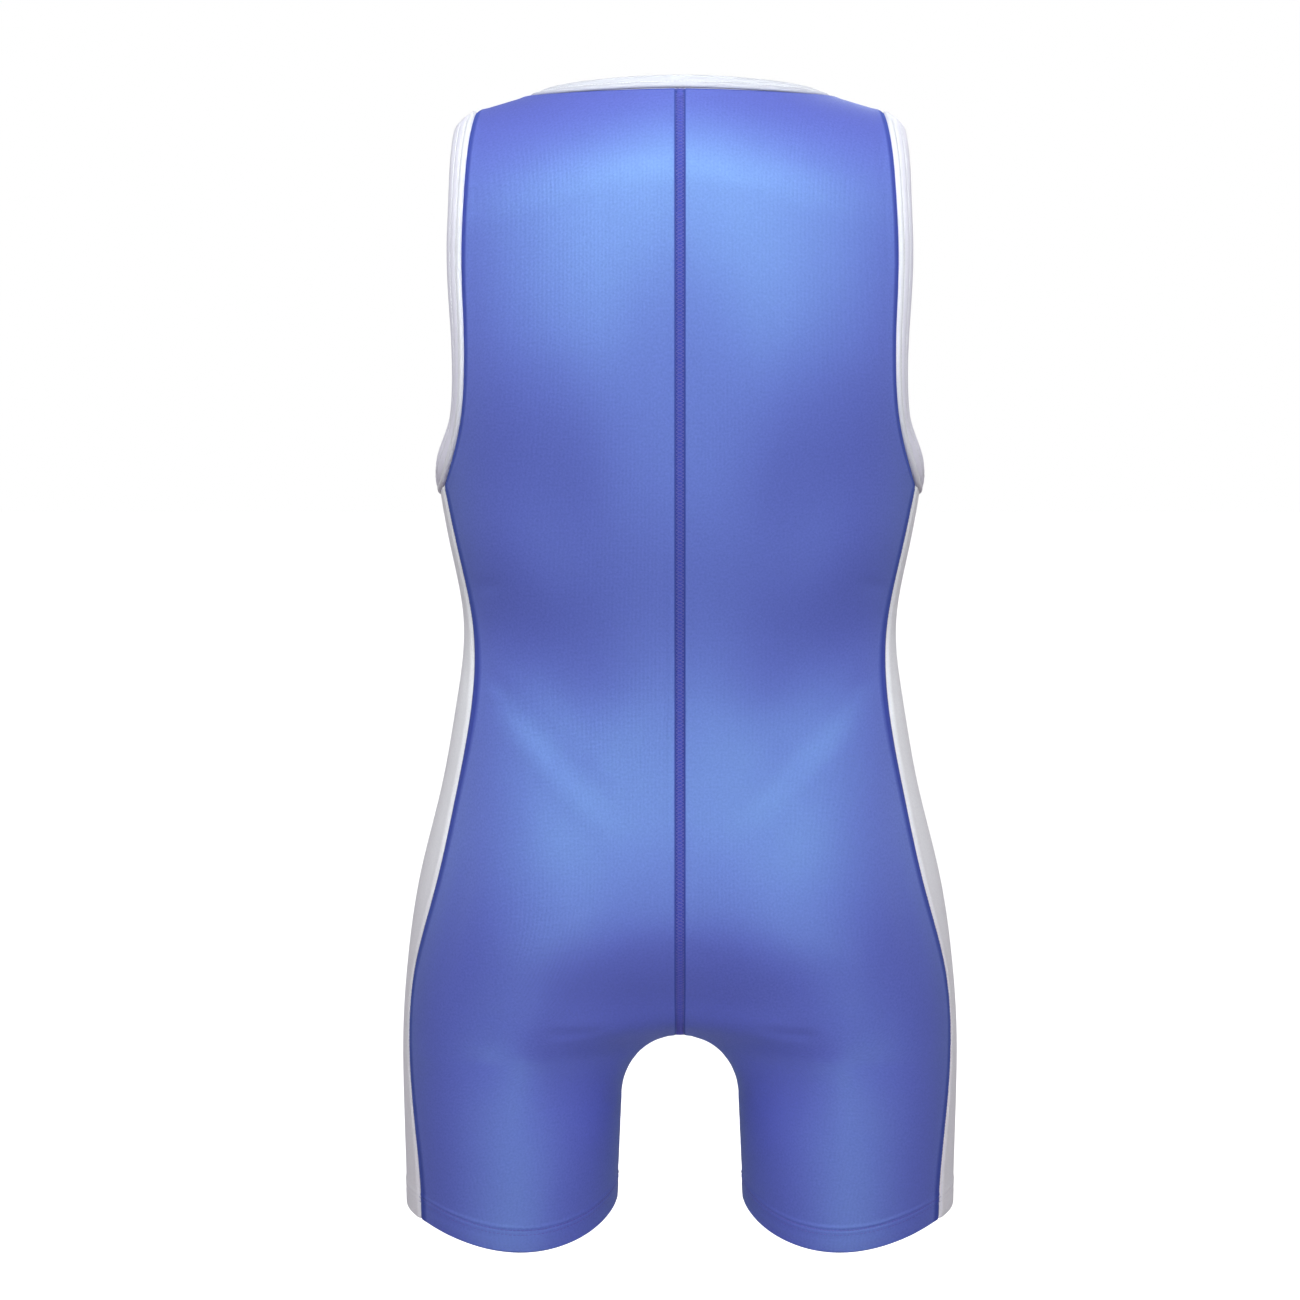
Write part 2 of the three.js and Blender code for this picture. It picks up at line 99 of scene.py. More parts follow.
def add_soft_light(name, place, aim, width, height, watts, colour, spread=180):
    lamp = bpy.data.lights.new(name, "AREA")
    lamp.shape = "RECTANGLE"
    lamp.size = width
    lamp.size_y = height
    lamp.energy = watts
    lamp.color = colour
    lamp.spread = math.radians(spread)
    holder = bpy.data.objects.new(name, lamp)
    holder.location = place
    holder.rotation_euler = (Vector(aim) - Vector(place)).to_track_quat("-Z", "Y").to_euler()
    bpy.context.scene.collection.objects.link(holder)


for x in (-1, 0, 1):
    add_soft_light("main_light", (x, -2.1, 1.1), (0, 0, 0.06), 1.0, 0.5, 1.95, GREENISH_WHITE, 46)
add_soft_light("top_light", (0, -1.4, 1.9), (0, 0, 0.25), 1.6, 0.7, 2.4, GREENISH_WHITE, 60)
add_soft_light("low_light", (0, -2.2, -1.1), (0, 0, -0.78), 1.6, 0.3, 1.1, VIOLET_WHITE, 60)
add_soft_light("crotch_light", (0, -2.0, -0.85), (0, 0, -0.65), 0.3, 0.2, 0.12, PALE_VIOLET, 16)
for name, x in (("left_light", -2.4), ("right_light", 2.4)):
    add_soft_light(name, (x, 0.9, 0.2), (0, 0, -0.45), 0.8, 1.6, 8.5, PINKISH_WHITE)
add_soft_light("front_light", (0.6, 2.6, 0.9), (0, 0, -0.4), 1.6, 1.6, 20, WHITE)

floor_mesh = bpy.data.meshes.new("floor")
reach = FLOOR_REACH
floor_mesh.from_pydata(
    [(-reach, -reach, 0), (reach, -reach, 0), (reach, reach, 0), (-reach, reach, 0)],
    [],
    [(0, 1, 2, 3)],
)
floor = bpy.data.objects.new("floor", floor_mesh)
floor.location.z = FLOOR_HEIGHT
bpy.context.scene.collection.objects.link(floor)
floor_material = bpy.data.materials.new("floor_paint")
floor_material.use_nodes = True
floor_tree = floor_material.node_tree
floor_shader = floor_tree.nodes["Principled BSDF"]
floor_shader.inputs["Base Color"].default_value = (0.5, 0.5, 0.5, 1)
floor_shader.inputs["Roughness"].default_value = 0.9
floor_shader.inputs["Emission Color"].default_value = (1, 1, 1, 1)
floor_seen = floor_tree.nodes.new("ShaderNodeLightPath")
floor_tree.links.new(floor_seen.outputs["Is Camera Ray"], floor_shader.inputs["Emission Strength"])
floor_mesh.materials.append(floor_material)


# Back panels. Two pieces of mid-blue nylon and elastane knit, cut from the strap to the leg hem and
# joined down the middle. The garment is filled out, so all its pieces follow one form: level sections
# that part into two legs, under a rounded shoulder. Sizes are in millimetres, down from the straps.
BACK, FRONT = -1, 1
MM_PER_METRE = 1000
CREST_AT_CENTRE = 21.8
CREST_SLOPE = 0.305
CREST_ROUNDING = 40
SHOULDER_DROP = 90
CREST_LEVELS_OUT = 250
NECK_HALF_WIDTH = 104
BACK_NECK_HEIGHT = -1.8
FRONT_NECK_DROP = 118
NECK_SQUARENESS = 2.4
STRAP_SEAM_TURN = 0.15
STRAP_BEGINS = 0.7
ARMPIT_DOWN = 268
ARMPIT_DIP = 7
CROTCH_DOWN = 658
CROTCH_ROW_DROP = 60
SEAT_HEIGHT = 195
SEAT_POWER = 2.4
ARCH_HEIGHT = 45
ARCH_HALF_WIDTH = 42
ARCH_SPREAD = 0.045
LEG_CENTRE = 120
LEGS_BEGIN = 363
LEGS_FULL = 700
LEG_ROUNDING = 80
TORSO_SQUARENESS = 2.3
LEG_SQUARENESS = 2.05
HEM_DOWN = 778
HEM_DIP_AT_BACK = 14.5
HEM_DIP_OUTWARDS = 1.12
HEM_DIP_ROUNDNESS = 1.5
SECTION_STEPS = 96
CREST_ROUNDS = 30
ROW_CROWDING = 0.6
TINY = 1e-6


def as_rows(columns, *rows):
    """Rows of numbers as dicts, under the names of their columns."""
    return [dict(zip(columns.split(), row)) for row in rows]


SECTIONS = as_rows(
    "down side back front",
    (0, 186, 92, 80),
    (70, 187, 100, 92),
    (140, 183, 106, 108),
    (210, 175, 102, 112),
    (268, 168, 94, 108),
    (310, 160.8, 87, 102),
    (363, 151.9, 80, 95),
    (420, 157.3, 84, 96),
    (480, 168.3, 99, 99),
    (540, 183.2, 116, 99),
    (600, 192.6, 116, 96),
    (650, 196.6, 101, 92),
    (700, 196.8, 92, 88),
    (750, 195.8, 87, 85),
    (790, 195, 86, 84),
)
ARMHOLE_SEAM = as_rows(
    "down back front",
    (0, 140, 140),
    (25, 143, 139),
    (60, 145, 135),
    (105, 146.5, 129),
    (150, 145.3, 127),
    (190, 145.6, 130),
    (220, 148.5, 138),
    (245, 154.5, 148.5),
    (268, 162.8, 161.5),
)
SIDE_SEAM = as_rows(
    "down back front",
    (268, 162.8, 161.5),
    (310, 154.3, 153.5),
    (363, 144.2, 143.7),
    (420, 144.9, 145.4),
    (480, 155.2, 155.2),
    (540, 168, 168),
    (600, 184, 183),
    (650, 189, 188),
    (700, 186.6, 186),
    (750, 182, 182),
    (790, 180.4, 180.4),
)


def curve_through(table, column):
    """A smooth curve through one column of a table, with the least bending and free ends."""
    x = np.array([row["down"] for row in table], float)
    y = np.array([row[column] for row in table], float)
    last = len(x) - 1
    system = np.eye(last + 1)
    right = np.zeros(last + 1)
    for i in range(1, last):
        before = x[i] - x[i - 1]
        after = x[i + 1] - x[i]
        system[i, i - 1 : i + 2] = before, 2 * (before + after), after
        right[i] = 6 * ((y[i + 1] - y[i]) / after - (y[i] - y[i - 1]) / before)
    bend = np.linalg.solve(system, right)

    def at(value):
        value = np.asarray(value, float)
        i = np.clip(np.searchsorted(x, value) - 1, 0, last - 1)
        span = x[i + 1] - x[i]
        b = (value - x[i]) / span
        a = 1 - b
        bow = ((a**3 - a) * bend[i] + (b**3 - b) * bend[i + 1]) * span**2 / 6
        return a * y[i] + b * y[i + 1] + bow

    return at


def face_curves(table):
    return {BACK: curve_through(table, "back"), FRONT: curve_through(table, "front")}


half_width = curve_through(SECTIONS, "side")
depth = face_curves(SECTIONS)
armhole_x = face_curves(ARMHOLE_SEAM)
side_x = face_curves(SIDE_SEAM)


def smooth_step(start, end, at):
    t = np.clip((at - start) / (end - start), 0, 1)
    return t * t * (3 - 2 * t)


def panel_edge_x(face, down):
    return np.where(down < ARMPIT_DOWN, armhole_x[face](down), side_x[face](down))


def leg_gap(down):
    """Half of the gap between the legs."""
    t = np.clip((down - CROTCH_DOWN) / ARCH_HEIGHT, 0, 1)
    spread = ARCH_SPREAD * np.maximum(0, down - CROTCH_DOWN - ARCH_HEIGHT)
    return ARCH_HALF_WIDTH * np.sqrt(1 - (1 - t) ** 2) + spread


def section_at(face, down):
    """A level section's sizes, each an array like down."""
    legs = smooth_step(LEGS_BEGIN, LEGS_FULL, down)
    above_crotch = np.clip((CROTCH_DOWN - down) / SEAT_HEIGHT, 0, 1)
    return dict(
        side=half_width(down),
        deep=depth[face](down),
        centre=LEG_CENTRE * legs,
        power=2 / (TORSO_SQUARENESS + (LEG_SQUARENESS - TORSO_SQUARENESS) * legs),
        gap=leg_gap(down),
        pinched=(1 - above_crotch) ** SEAT_POWER,
        leg_round=smooth_step(CROTCH_DOWN, CROTCH_DOWN + LEG_ROUNDING, down),
    )


def section_point(size, turn):
    """Across and depth: turn 0 is the middle or inseam, 1 the leg's centre, 2 the side."""
    angle = np.clip(turn - 1, 0, 1) * math.pi / 2
    outer_x = size["centre"] + (size["side"] - size["centre"]) * np.sin(angle) ** size["power"]
    outer_deep = size["deep"] * np.maximum(0, np.cos(angle)) ** size["power"]
    inner = np.clip(turn, 0, 1)
    inner_x = np.sqrt(size["gap"] ** 2 + (size["centre"] ** 2 - size["gap"] ** 2) * inner**2)
    saddle = 1 - inner**2
    leg = np.maximum(size["centre"] - size["gap"], TINY)
    round_leg = (size["centre"] - inner_x) / leg
    inward = saddle + (round_leg - saddle) * size["leg_round"]
    inner_deep = size["deep"] * np.sqrt(np.maximum(0, 1 - size["pinched"] * inward**2))
    inside = turn < 1
    return np.where(inside, inner_x, outer_x), np.where(inside, inner_deep, outer_deep)


def section_lengths(face, down):
    """Length along the section from the middle at each of its steps, on a last axis."""
    size = {key: value[..., None] for key, value in section_at(face, np.asarray(down, float)).items()}
    turns = np.linspace(0, 2, SECTION_STEPS + 1)
    x, deep = section_point(size, turns)
    steps = np.hypot(np.diff(x), np.diff(deep))
    return np.concatenate([np.zeros(steps.shape[:-1] + (1,)), np.cumsum(steps, -1)], -1)


def length_at_step(lengths, i):
    return np.take_along_axis(lengths, i[..., None], -1)[..., 0]


def turn_at_length(lengths, length):
    i = np.clip((lengths <= length[..., None]).sum(-1) - 1, 0, SECTION_STEPS - 1)
    low, high = length_at_step(lengths, i), length_at_step(lengths, i + 1)
    part = np.clip((length - low) / np.maximum(high - low, 1e-9), 0, 1)
    return 2 * (i + part) / SECTION_STEPS


def length_at_turn(lengths, turn):
    place = turn * SECTION_STEPS / 2
    i = np.clip(np.floor(place).astype(int), 0, SECTION_STEPS - 1)
    low, high = length_at_step(lengths, i), length_at_step(lengths, i + 1)
    return low + (high - low) * (place - i)


def turn_at_x(face, x, down):
    size = section_at(face, down)
    across = np.clip((x - size["centre"]) / (size["side"] - size["centre"]), 0, 1)
    return 1 + np.arcsin(across ** (1 / size["power"])) * 2 / math.pi


def crest_lift(x, down):
    """How far the sections are lifted, so that their tops follow the straps' crest."""
    crest = CREST_AT_CENTRE - CREST_SLOPE * (np.hypot(x, CREST_ROUNDING) - CREST_ROUNDING)
    return crest * (1 - smooth_step(SHOULDER_DROP, CREST_LEVELS_OUT, down))


def down_at_height(x, height):
    down = -np.asarray(height, float)
    for _ in range(CREST_ROUNDS):
        down = crest_lift(x, down) - height
    return np.maximum(0, down)


def down_at_turn(turn):
    """Over the shoulder, rows are spaced by angle, so that they stay even where the cloth turns."""
    angle = np.abs(turn)
    quarter = math.pi / 2
    over = SHOULDER_DROP * (1 - np.cos(np.minimum(angle, quarter)))
    return over + SHOULDER_DROP * np.maximum(0, angle - quarter)


def shoulder_turn_at(down):
    over = np.arccos(np.clip(1 - down / SHOULDER_DROP, 0, 1))
    return over + np.maximum(0, down / SHOULDER_DROP - 1)


# The broad hollows and swells of the filled-out back: each has a middle, a slope in degrees, half its
# length and half its width, and a depth that is negative where the cloth stands proud. The fall is the
# half width on the lower side.
HOLLOWS = as_rows(
    "x down slope reach width fall deep",
    (102, 404, -38, 60, 46, 46, 7.5),
    (108, 322, -36, 52, 36, 36, -4.5),
    (112, 612, 0, 56, 42, 170, 8.0),
    (100, 205, 0, 66, 66, 66, -8.0),
    (0, 318, 0, 66, 90, 90, -8.5),
    (128, 508, 8, 52, 40, 40, -3.2),
)


def sunk(hollow, x, down):
    slope = math.radians(hollow["slope"])
    right, below = x - hollow["x"], down - hollow["down"]
    along = (right * math.cos(slope) + below * math.sin(slope)) / hollow["reach"]
    across = below * math.cos(slope) - right * math.sin(slope)
    width = np.where(across > 0, hollow.get("fall", hollow["width"]), hollow["width"])
    return hollow["deep"] * np.exp(-(along**4) - (across / width) ** 2)


def cloth_point(face, turn, down):
    """Points of the cloth's outer face on the right half."""
    size = section_at(face, down)
    x, deep = section_point(size, turn)
    if face == BACK:
        deep = deep * (1 - sum(sunk(hollow, x, down) for hollow in HOLLOWS) / size["deep"])
    over = np.sqrt(1 - np.maximum(0, 1 - down / SHOULDER_DROP) ** 2)
    return np.stack([x, face * deep * over, crest_lift(x, down) - down], -1)


# The steps over which slopes are measured, shorter close to the crest.
TURN_STEP = 0.004
DOWN_STEP = 0.4
CREST_STEP = 0.02
NEAR_CREST = 4
GAP_STEP = 0.5


def cloth_normal(face, turn, down):
    """Outward directions there, from the slopes along and across the section."""
    turn, down = np.broadcast_arrays(np.asarray(turn, float), np.asarray(down, float))
    step_down = np.where(down < NEAR_CREST, CREST_STEP, DOWN_STEP)
    across = cloth_point(face, np.minimum(2, turn + TURN_STEP), down)
    across = across - cloth_point(face, np.maximum(0, turn - TURN_STEP), down)
    along = cloth_point(face, turn, np.maximum(0, down - step_down))
    along = along - cloth_point(face, turn, down + step_down)
    normal = np.cross(across, along) * -face
    x = cloth_point(face, turn, down)[..., 0]
    normal[..., 0] = np.where(x < TINY, 0, normal[..., 0])
    normal[..., 1] = np.where((turn > 2 - TINY) | (down < TINY), 0, normal[..., 1])
    inseam = (turn < TINY) & (down >= CROTCH_DOWN)
    slope = leg_gap(down + GAP_STEP) - leg_gap(np.maximum(CROTCH_DOWN, down - GAP_STEP))
    flat = np.where(down < CROTCH_DOWN + TINY, 0.0, -1.0)
    leg_side = np.stack([flat, 0 * flat, -np.maximum(slope, 1e-3)], -1)
    normal = np.where(inseam[..., None], leg_side, normal)
    return normal / np.linalg.norm(normal, axis=-1, keepdims=True)


def hem_down_at(face, fraction):
    dip = HEM_DIP_AT_BACK if face == BACK else 0
    across = np.clip(fraction, 0, 1) ** HEM_DIP_OUTWARDS
    return HEM_DOWN + dip * np.abs(np.sin(math.pi * across)) ** HEM_DIP_ROUNDNESS


def panel_edge_length(face, down):
    lengths = section_lengths(face, down)
    return length_at_turn(lengths, turn_at_x(face, panel_edge_x(face, down), down))


def column_top(face, fraction):
    """Where a column of a half panel starts: its x, and its angle over the shoulder."""
    along = np.clip(fraction / STRAP_BEGINS, 0, 1)
    if face == BACK:
        x = NECK_HALF_WIDTH * np.sin(along * math.pi / 2)
        height = BACK_NECK_HEIGHT * (1 - (x / NECK_HALF_WIDTH) ** 4)
    else:
        power = 2 / NECK_SQUARENESS
        x = NECK_HALF_WIDTH * np.sin(along * math.pi / 2) ** power
        height = -FRONT_NECK_DROP * np.maximum(0, np.cos(along * math.pi / 2)) ** power
    turn = shoulder_turn_at(down_at_height(x, height))
    strap = np.clip((fraction - STRAP_BEGINS) / (1 - STRAP_BEGINS), 0, 1)
    strap_x = NECK_HALF_WIDTH + (panel_edge_x(face, 0.0) - NECK_HALF_WIDTH) * strap
    on_strap = fraction >= STRAP_BEGINS
    strap_turn = 0.0 if face == BACK else STRAP_SEAM_TURN
    return np.where(on_strap, strap_x, x), np.where(on_strap, strap_turn, turn)


# The rows of a half panel: to the armpit, to the crotch, to the hem, and close together at the hem's
# rounded edge, whose rows are counted up from it.
ROWS_TO_ARMPIT = 96
ROWS_TO_CROTCH = 130
ROWS_TO_HEM = 44
EDGE_STEPS = [0.0, 0.5, 1.0, 1.6, 2.3, 3.2, 4.4]
HEM_STEPS = [26, 23, 21, 20, 19.2, 18.4, 17.6, 16.8, 16, 15.2, 14.4, 13.6, 12]
HEM_STEPS += [9, 6, 4, 2.4, 1.4, 0.8, 0.35, 0]


def row_downs(face, fraction):
    top = column_top(face, fraction)[1]
    inward = (1 - fraction) ** 2
    crotch_row = CROTCH_DOWN + CROTCH_ROW_DROP * (1 - inward)
    armpit = shoulder_turn_at(ARMPIT_DOWN)
    hem = hem_down_at(face, fraction)
    near_top = np.array(EDGE_STEPS) / SHOULDER_DROP
    rows = [down_at_turn(top + step) for step in near_top]
    first = top + near_top[-1]
    for i in range(1, ROWS_TO_ARMPIT):
        rows.append(down_at_turn(first + (armpit - first) * i / ROWS_TO_ARMPIT))
    for i in range(ROWS_TO_CROTCH):
        along = 1 - (1 - i / ROWS_TO_CROTCH) ** (1 + ROW_CROWDING * inward)
        rows.append(ARMPIT_DOWN + (crotch_row - ARMPIT_DOWN) * along)
    for i in range(ROWS_TO_HEM):
        along = (i / ROWS_TO_HEM) ** (1 + inward)
        rows.append(crotch_row + (hem - HEM_STEPS[0] - crotch_row) * along)
    for step in HEM_STEPS:
        rows.append(hem - step)
    return np.array(rows)


PANEL_COLUMNS = 56
PANEL_SPAN = 190


def panel_grid(face):
    """Turn, down and length from the middle for each row and column of a half panel."""
    even = np.linspace(0, 1, PANEL_COLUMNS + 1)
    edge = np.array(EDGE_STEPS[:-1]) / PANEL_SPAN
    low = edge[edge < even[2]]
    fraction = np.concatenate([low, even[2:-2], 1 - low[::-1]])
    fraction = np.sort(np.append(fraction, STRAP_BEGINS))
    down = row_downs(face, fraction)
    fraction = np.broadcast_to(fraction, down.shape)
    top_x, top_turn = column_top(face, fraction)
    top_down = down_at_turn(top_turn)
    top_length = length_at_turn(section_lengths(face, top_down), turn_at_x(face, top_x, top_down))
    top_fraction = np.where(fraction >= 1, 1, top_length / panel_edge_length(face, top_down))
    settle = np.clip((down - top_down) / (ARMPIT_DOWN - top_down), 0, 1)
    place = top_fraction + (fraction - top_fraction) * settle
    length = place * panel_edge_length(face, down)
    turn = turn_at_length(section_lengths(face, down), length)
    return turn, down, length, fraction


# The soft folds, given like the hollows. The back's follow the seat and the waist.
FOLDS = as_rows(
    "face x down slope reach width deep",
    (BACK, 74, 637, 3, 17, 3.4, 1.3),
    (BACK, 10, 636, 0, 76, 14, -4.2),
    (BACK, 82, 449, -44, 52, 11, 1.0),
    (BACK, 80, 467, -44, 56, 12, -1.1),
    (BACK, 140, 338, 16, 17, 4, 0.8),
    (BACK, 136, 398, -30, 20, 6, 0.9),
    (BACK, 152, 560, 78, 44, 8, 1.0),
    (FRONT, 44, 640, 36, 46, 7, 2.6),
    (FRONT, 56, 628, 36, 56, 9, -1.4),
    (FRONT, 120, 372, -12, 40, 7, 1.2),
    (FRONT, 128, 300, 14, 30, 7, 1.0),
    (FRONT, 60, 420, -8, 50, 10, 0.9),
)
CLOTH_WALL = 1.0
SEAM_GAP = 0.2
HEM_FOLD = 18
HEM_WALL = 2.6
HEM_PROUD = 0.45
HEM_ROWS = [12.5, 15.6]
HEM_ROW_DEPTH = 0.5
HEM_ROW_WIDTH = 0.75
HEM_TUCK = 0.42
HEM_EDGE = (-0.6, 1.4)
SEAM_SINK = 0.8
SEAM_SINK_WIDTH = 1.5
SEAM_PUFF = 0.35
SEAM_PUFF_AWAY = 4.6
SEAM_PUFF_WIDTH = 2.2
MIDDLE_BAND = 3.7
MIDDLE_SINK = 0.4
MIDDLE_PUFF = 0.45
MIDDLE_PUFF_AWAY = 1.9
MIDDLE_PUFF_WIDTH = 1.6
MIDDLE_EDGE = (-0.7, 0.5)
PUCKER = 0.05
PUCKER_RUN = 1.75
SLOW_PUCKER = 0.6
SLOW_PUCKER_RUN = 2.9
SLOW_PUCKER_START = 1.3
PUCKER_AWAY = 5
PUCKER_WIDTH = 3
FAR = 1000.0
SIDE_SEAM_SHADE_SHARE = 0.38
ARM_SEAM_SHADE_SHARE = 0.7
FOLDS_END = 3
FOLDS_FULL = 36


def bell(at, middle, width):
    return np.exp(-(((at - middle) / width) ** 2))


def seam_distance(point, lines):
    seam = np.full(point.shape[:-1], FAR)
    for line in lines:
        seam = np.minimum(seam, line.distance(point))
    return seam


def soft_folds(face, point, seam):
    """How far the folds push the cloth out. They die away at its seams."""
    out = np.zeros(point.shape[:-1])
    x = np.abs(point[..., 0])
    down = -point[..., 2]
    for fold in FOLDS:
        if fold["face"] != face:
            continue
        out -= sunk(fold, x, down)
    return out * smooth_step(FOLDS_END, FOLDS_FULL, seam)


class Line:
    """A line on the right half, to measure distances to."""

    def __init__(self, points):
        self.points = points
        self.tree = KDTree(len(points))
        for i, point in enumerate(points):
            self.tree.insert(point, i)
        self.tree.balance()

    def distance(self, points):
        flat = points.reshape(-1, 3).copy()
        flat[:, 0] = np.abs(flat[:, 0])
        nearest = np.array([self.tree.find(point)[1] for point in flat])
        best = np.full(len(flat), np.inf)
        for step in (-1, 0):
            i = np.clip(nearest + step, 0, len(self.points) - 2)
            start = self.points[i]
            run = self.points[i + 1] - start
            part = np.einsum("ij,ij->i", flat - start, run) / np.einsum("ij,ij->i", run, run)
            foot = start + run * np.clip(part, 0, 1)[:, None]
            best = np.minimum(best, np.linalg.norm(flat - foot, axis=1))
        return best.reshape(points.shape[:-1])


def on_edge(face, down):
    down = np.asarray(down, float)
    turn = turn_at_x(face, panel_edge_x(face, down), down)
    return turn, down


def neck_line_places(face):
    fraction = np.linspace(0, STRAP_BEGINS, 90)
    x, turn = column_top(face, fraction)
    down = down_at_turn(turn)
    return turn_at_x(face, x, down), down


def side_places(across, down, inset):
    back, front = section_lengths(BACK, down), section_lengths(FRONT, down)
    back_edge, front_edge = panel_edge_length(BACK, down), panel_edge_length(FRONT, down)
    back_reach, front_reach = back[..., -1] - back_edge, front[..., -1] - front_edge
    along = inset + (back_reach + front_reach - 2 * inset) * across
    behind = along <= back_reach
    back_turn = turn_at_length(back, np.minimum(back_edge + along, back[..., -1]))
    rest = front_edge + back_reach + front_reach - along
    front_turn = turn_at_length(front, np.minimum(rest, front[..., -1]))
    return behind, np.where(behind, back_turn, front_turn), along


def cloth_spot(face, turn, down):
    return cloth_point(face, turn, down), cloth_normal(face, turn, down)


def side_spot(behind, turn, down):
    back_point, back_normal = cloth_spot(BACK, turn, down)
    front_point, front_normal = cloth_spot(FRONT, turn, down)
    pick = behind[..., None]
    return np.where(pick, back_point, front_point), np.where(pick, back_normal, front_normal)


# The seams, as lines on the right half. The armhole's is a ring: over the strap, down the back, under
# the arm and up the front.
shoulder_to_armpit = np.linspace(0, shoulder_turn_at(ARMPIT_DOWN), 110)
edge_downs = down_at_turn(shoulder_to_armpit)
across = np.linspace(0, 1, 32)[1:-1]
arm_down = ARMPIT_DOWN + ARMPIT_DIP * np.sin(math.pi * across)
arm_behind, arm_turn, _ = side_places(across, arm_down, 0.0)
armhole_parts = [
    cloth_spot(BACK, *on_edge(BACK, edge_downs)),
    side_spot(arm_behind, arm_turn, arm_down),
    cloth_spot(FRONT, *on_edge(FRONT, edge_downs[::-1][:-1])),
]
armhole_points = np.concatenate([part[0] for part in armhole_parts])
armhole_normals = np.concatenate([part[1] for part in armhole_parts])
back_neck = cloth_spot(BACK, *neck_line_places(BACK))
front_neck = cloth_spot(FRONT, *neck_line_places(FRONT))
seam_downs = np.linspace(ARMPIT_DOWN, HEM_DOWN, 200)
leg_downs = CROTCH_DOWN + (HEM_DOWN - CROTCH_DOWN) * np.linspace(0, 1, 60) ** 2
body_downs = np.linspace(0, CROTCH_DOWN, 200)
strap_seam_x = np.linspace(NECK_HALF_WIDTH, float(armhole_x[FRONT](0)), 20)
strap_seam_down = np.full_like(strap_seam_x, float(down_at_turn(STRAP_SEAM_TURN)))

armhole_line = Line(np.concatenate([armhole_points, armhole_points[:1]]))
neck_line = Line(np.concatenate([back_neck[0], front_neck[0][::-1]]))
side_line = {face: Line(cloth_point(face, *on_edge(face, seam_downs))) for face in (BACK, FRONT)}
inseam_line = Line(cloth_point(BACK, np.zeros_like(leg_downs), leg_downs))
middle_line = Line(cloth_point(BACK, np.zeros_like(body_downs), body_downs))
strap_line = Line(cloth_point(FRONT, turn_at_x(FRONT, strap_seam_x, strap_seam_down), strap_seam_down))
seam_lines = {
    BACK: [armhole_line, neck_line, side_line[BACK], inseam_line],
    FRONT: [armhole_line, neck_line, side_line[FRONT], inseam_line, strap_line],
}


def clothe(face, point, normal, down, hem_distance, lines, middle):
    """The outer and inner face of cloth at spots of the form, with its seams, hem and soft folds."""
    seam = seam_distance(point, lines)
    band = middle_line.distance(point) if middle else np.full(down.shape, FAR)
    out = soft_folds(face, point, seam)
    out -= SEAM_SINK * bell(seam, 0, SEAM_SINK_WIDTH)
    out += SEAM_PUFF * bell(seam, SEAM_PUFF_AWAY, SEAM_PUFF_WIDTH)
    out -= MIDDLE_SINK * (1 - smooth_step(*MIDDLE_EDGE, band - MIDDLE_BAND))
    out += MIDDLE_PUFF * bell(band - MIDDLE_BAND, MIDDLE_PUFF_AWAY, MIDDLE_PUFF_WIDTH)
    slow = np.sin(down / SLOW_PUCKER_RUN + SLOW_PUCKER_START)
    pucker = np.sin(down / PUCKER_RUN) + SLOW_PUCKER * slow
    out += PUCKER * pucker * bell(np.minimum(seam, band), PUCKER_AWAY, PUCKER_WIDTH)
    fold = 1 - smooth_step(*HEM_EDGE, hem_distance - HEM_FOLD)
    out += HEM_PROUD * fold
    for row in HEM_ROWS:
        out -= HEM_ROW_DEPTH * bell(hem_distance, row, HEM_ROW_WIDTH)
    wall = CLOTH_WALL + (HEM_WALL - CLOTH_WALL) * fold
    short = np.clip(1 - hem_distance / (HEM_WALL / 2), 0, 1)
    tuck = HEM_TUCK * HEM_WALL * (1 - np.sqrt(1 - short**2))
    outer = point + normal * (out - tuck)[..., None]
    inner = point + normal * (out - wall + tuck)[..., None]
    return dict(outer=outer, inner=inner, seam=seam, band=band)


SHARP_ANGLE = 55


def add_piece(name, points, quads, corner_uv, values, material):
    """A closed mesh from points in millimetres, with its faces turned outwards."""
    corners = points[quads]
    volume = 0
    for b, c in ((1, 2), (2, 3)):
        volume += np.einsum("ij,ij->i", corners[:, 0], np.cross(corners[:, b], corners[:, c])).sum()
    if volume < 0:
        quads, corner_uv = quads[:, ::-1], corner_uv[:, ::-1]
    mesh = bpy.data.meshes.new(name)
    mesh.from_pydata((points / MM_PER_METRE).tolist(), [], quads.tolist())
    layer = mesh.uv_layers.new(name="knit")
    layer.data.foreach_set("uv", (corner_uv / MM_PER_METRE).astype(np.float32).ravel())
    for key, value in values.items():
        attribute = mesh.attributes.new(key, "FLOAT", "POINT")
        attribute.data.foreach_set("value", (value / MM_PER_METRE).astype(np.float32))
    mesh.shade_smooth()
    mesh.set_sharp_from_angle(angle=math.radians(SHARP_ANGLE))
    mesh.materials.append(material)
    piece = bpy.data.objects.new(name, mesh)
    bpy.context.scene.collection.objects.link(piece)
    return piece


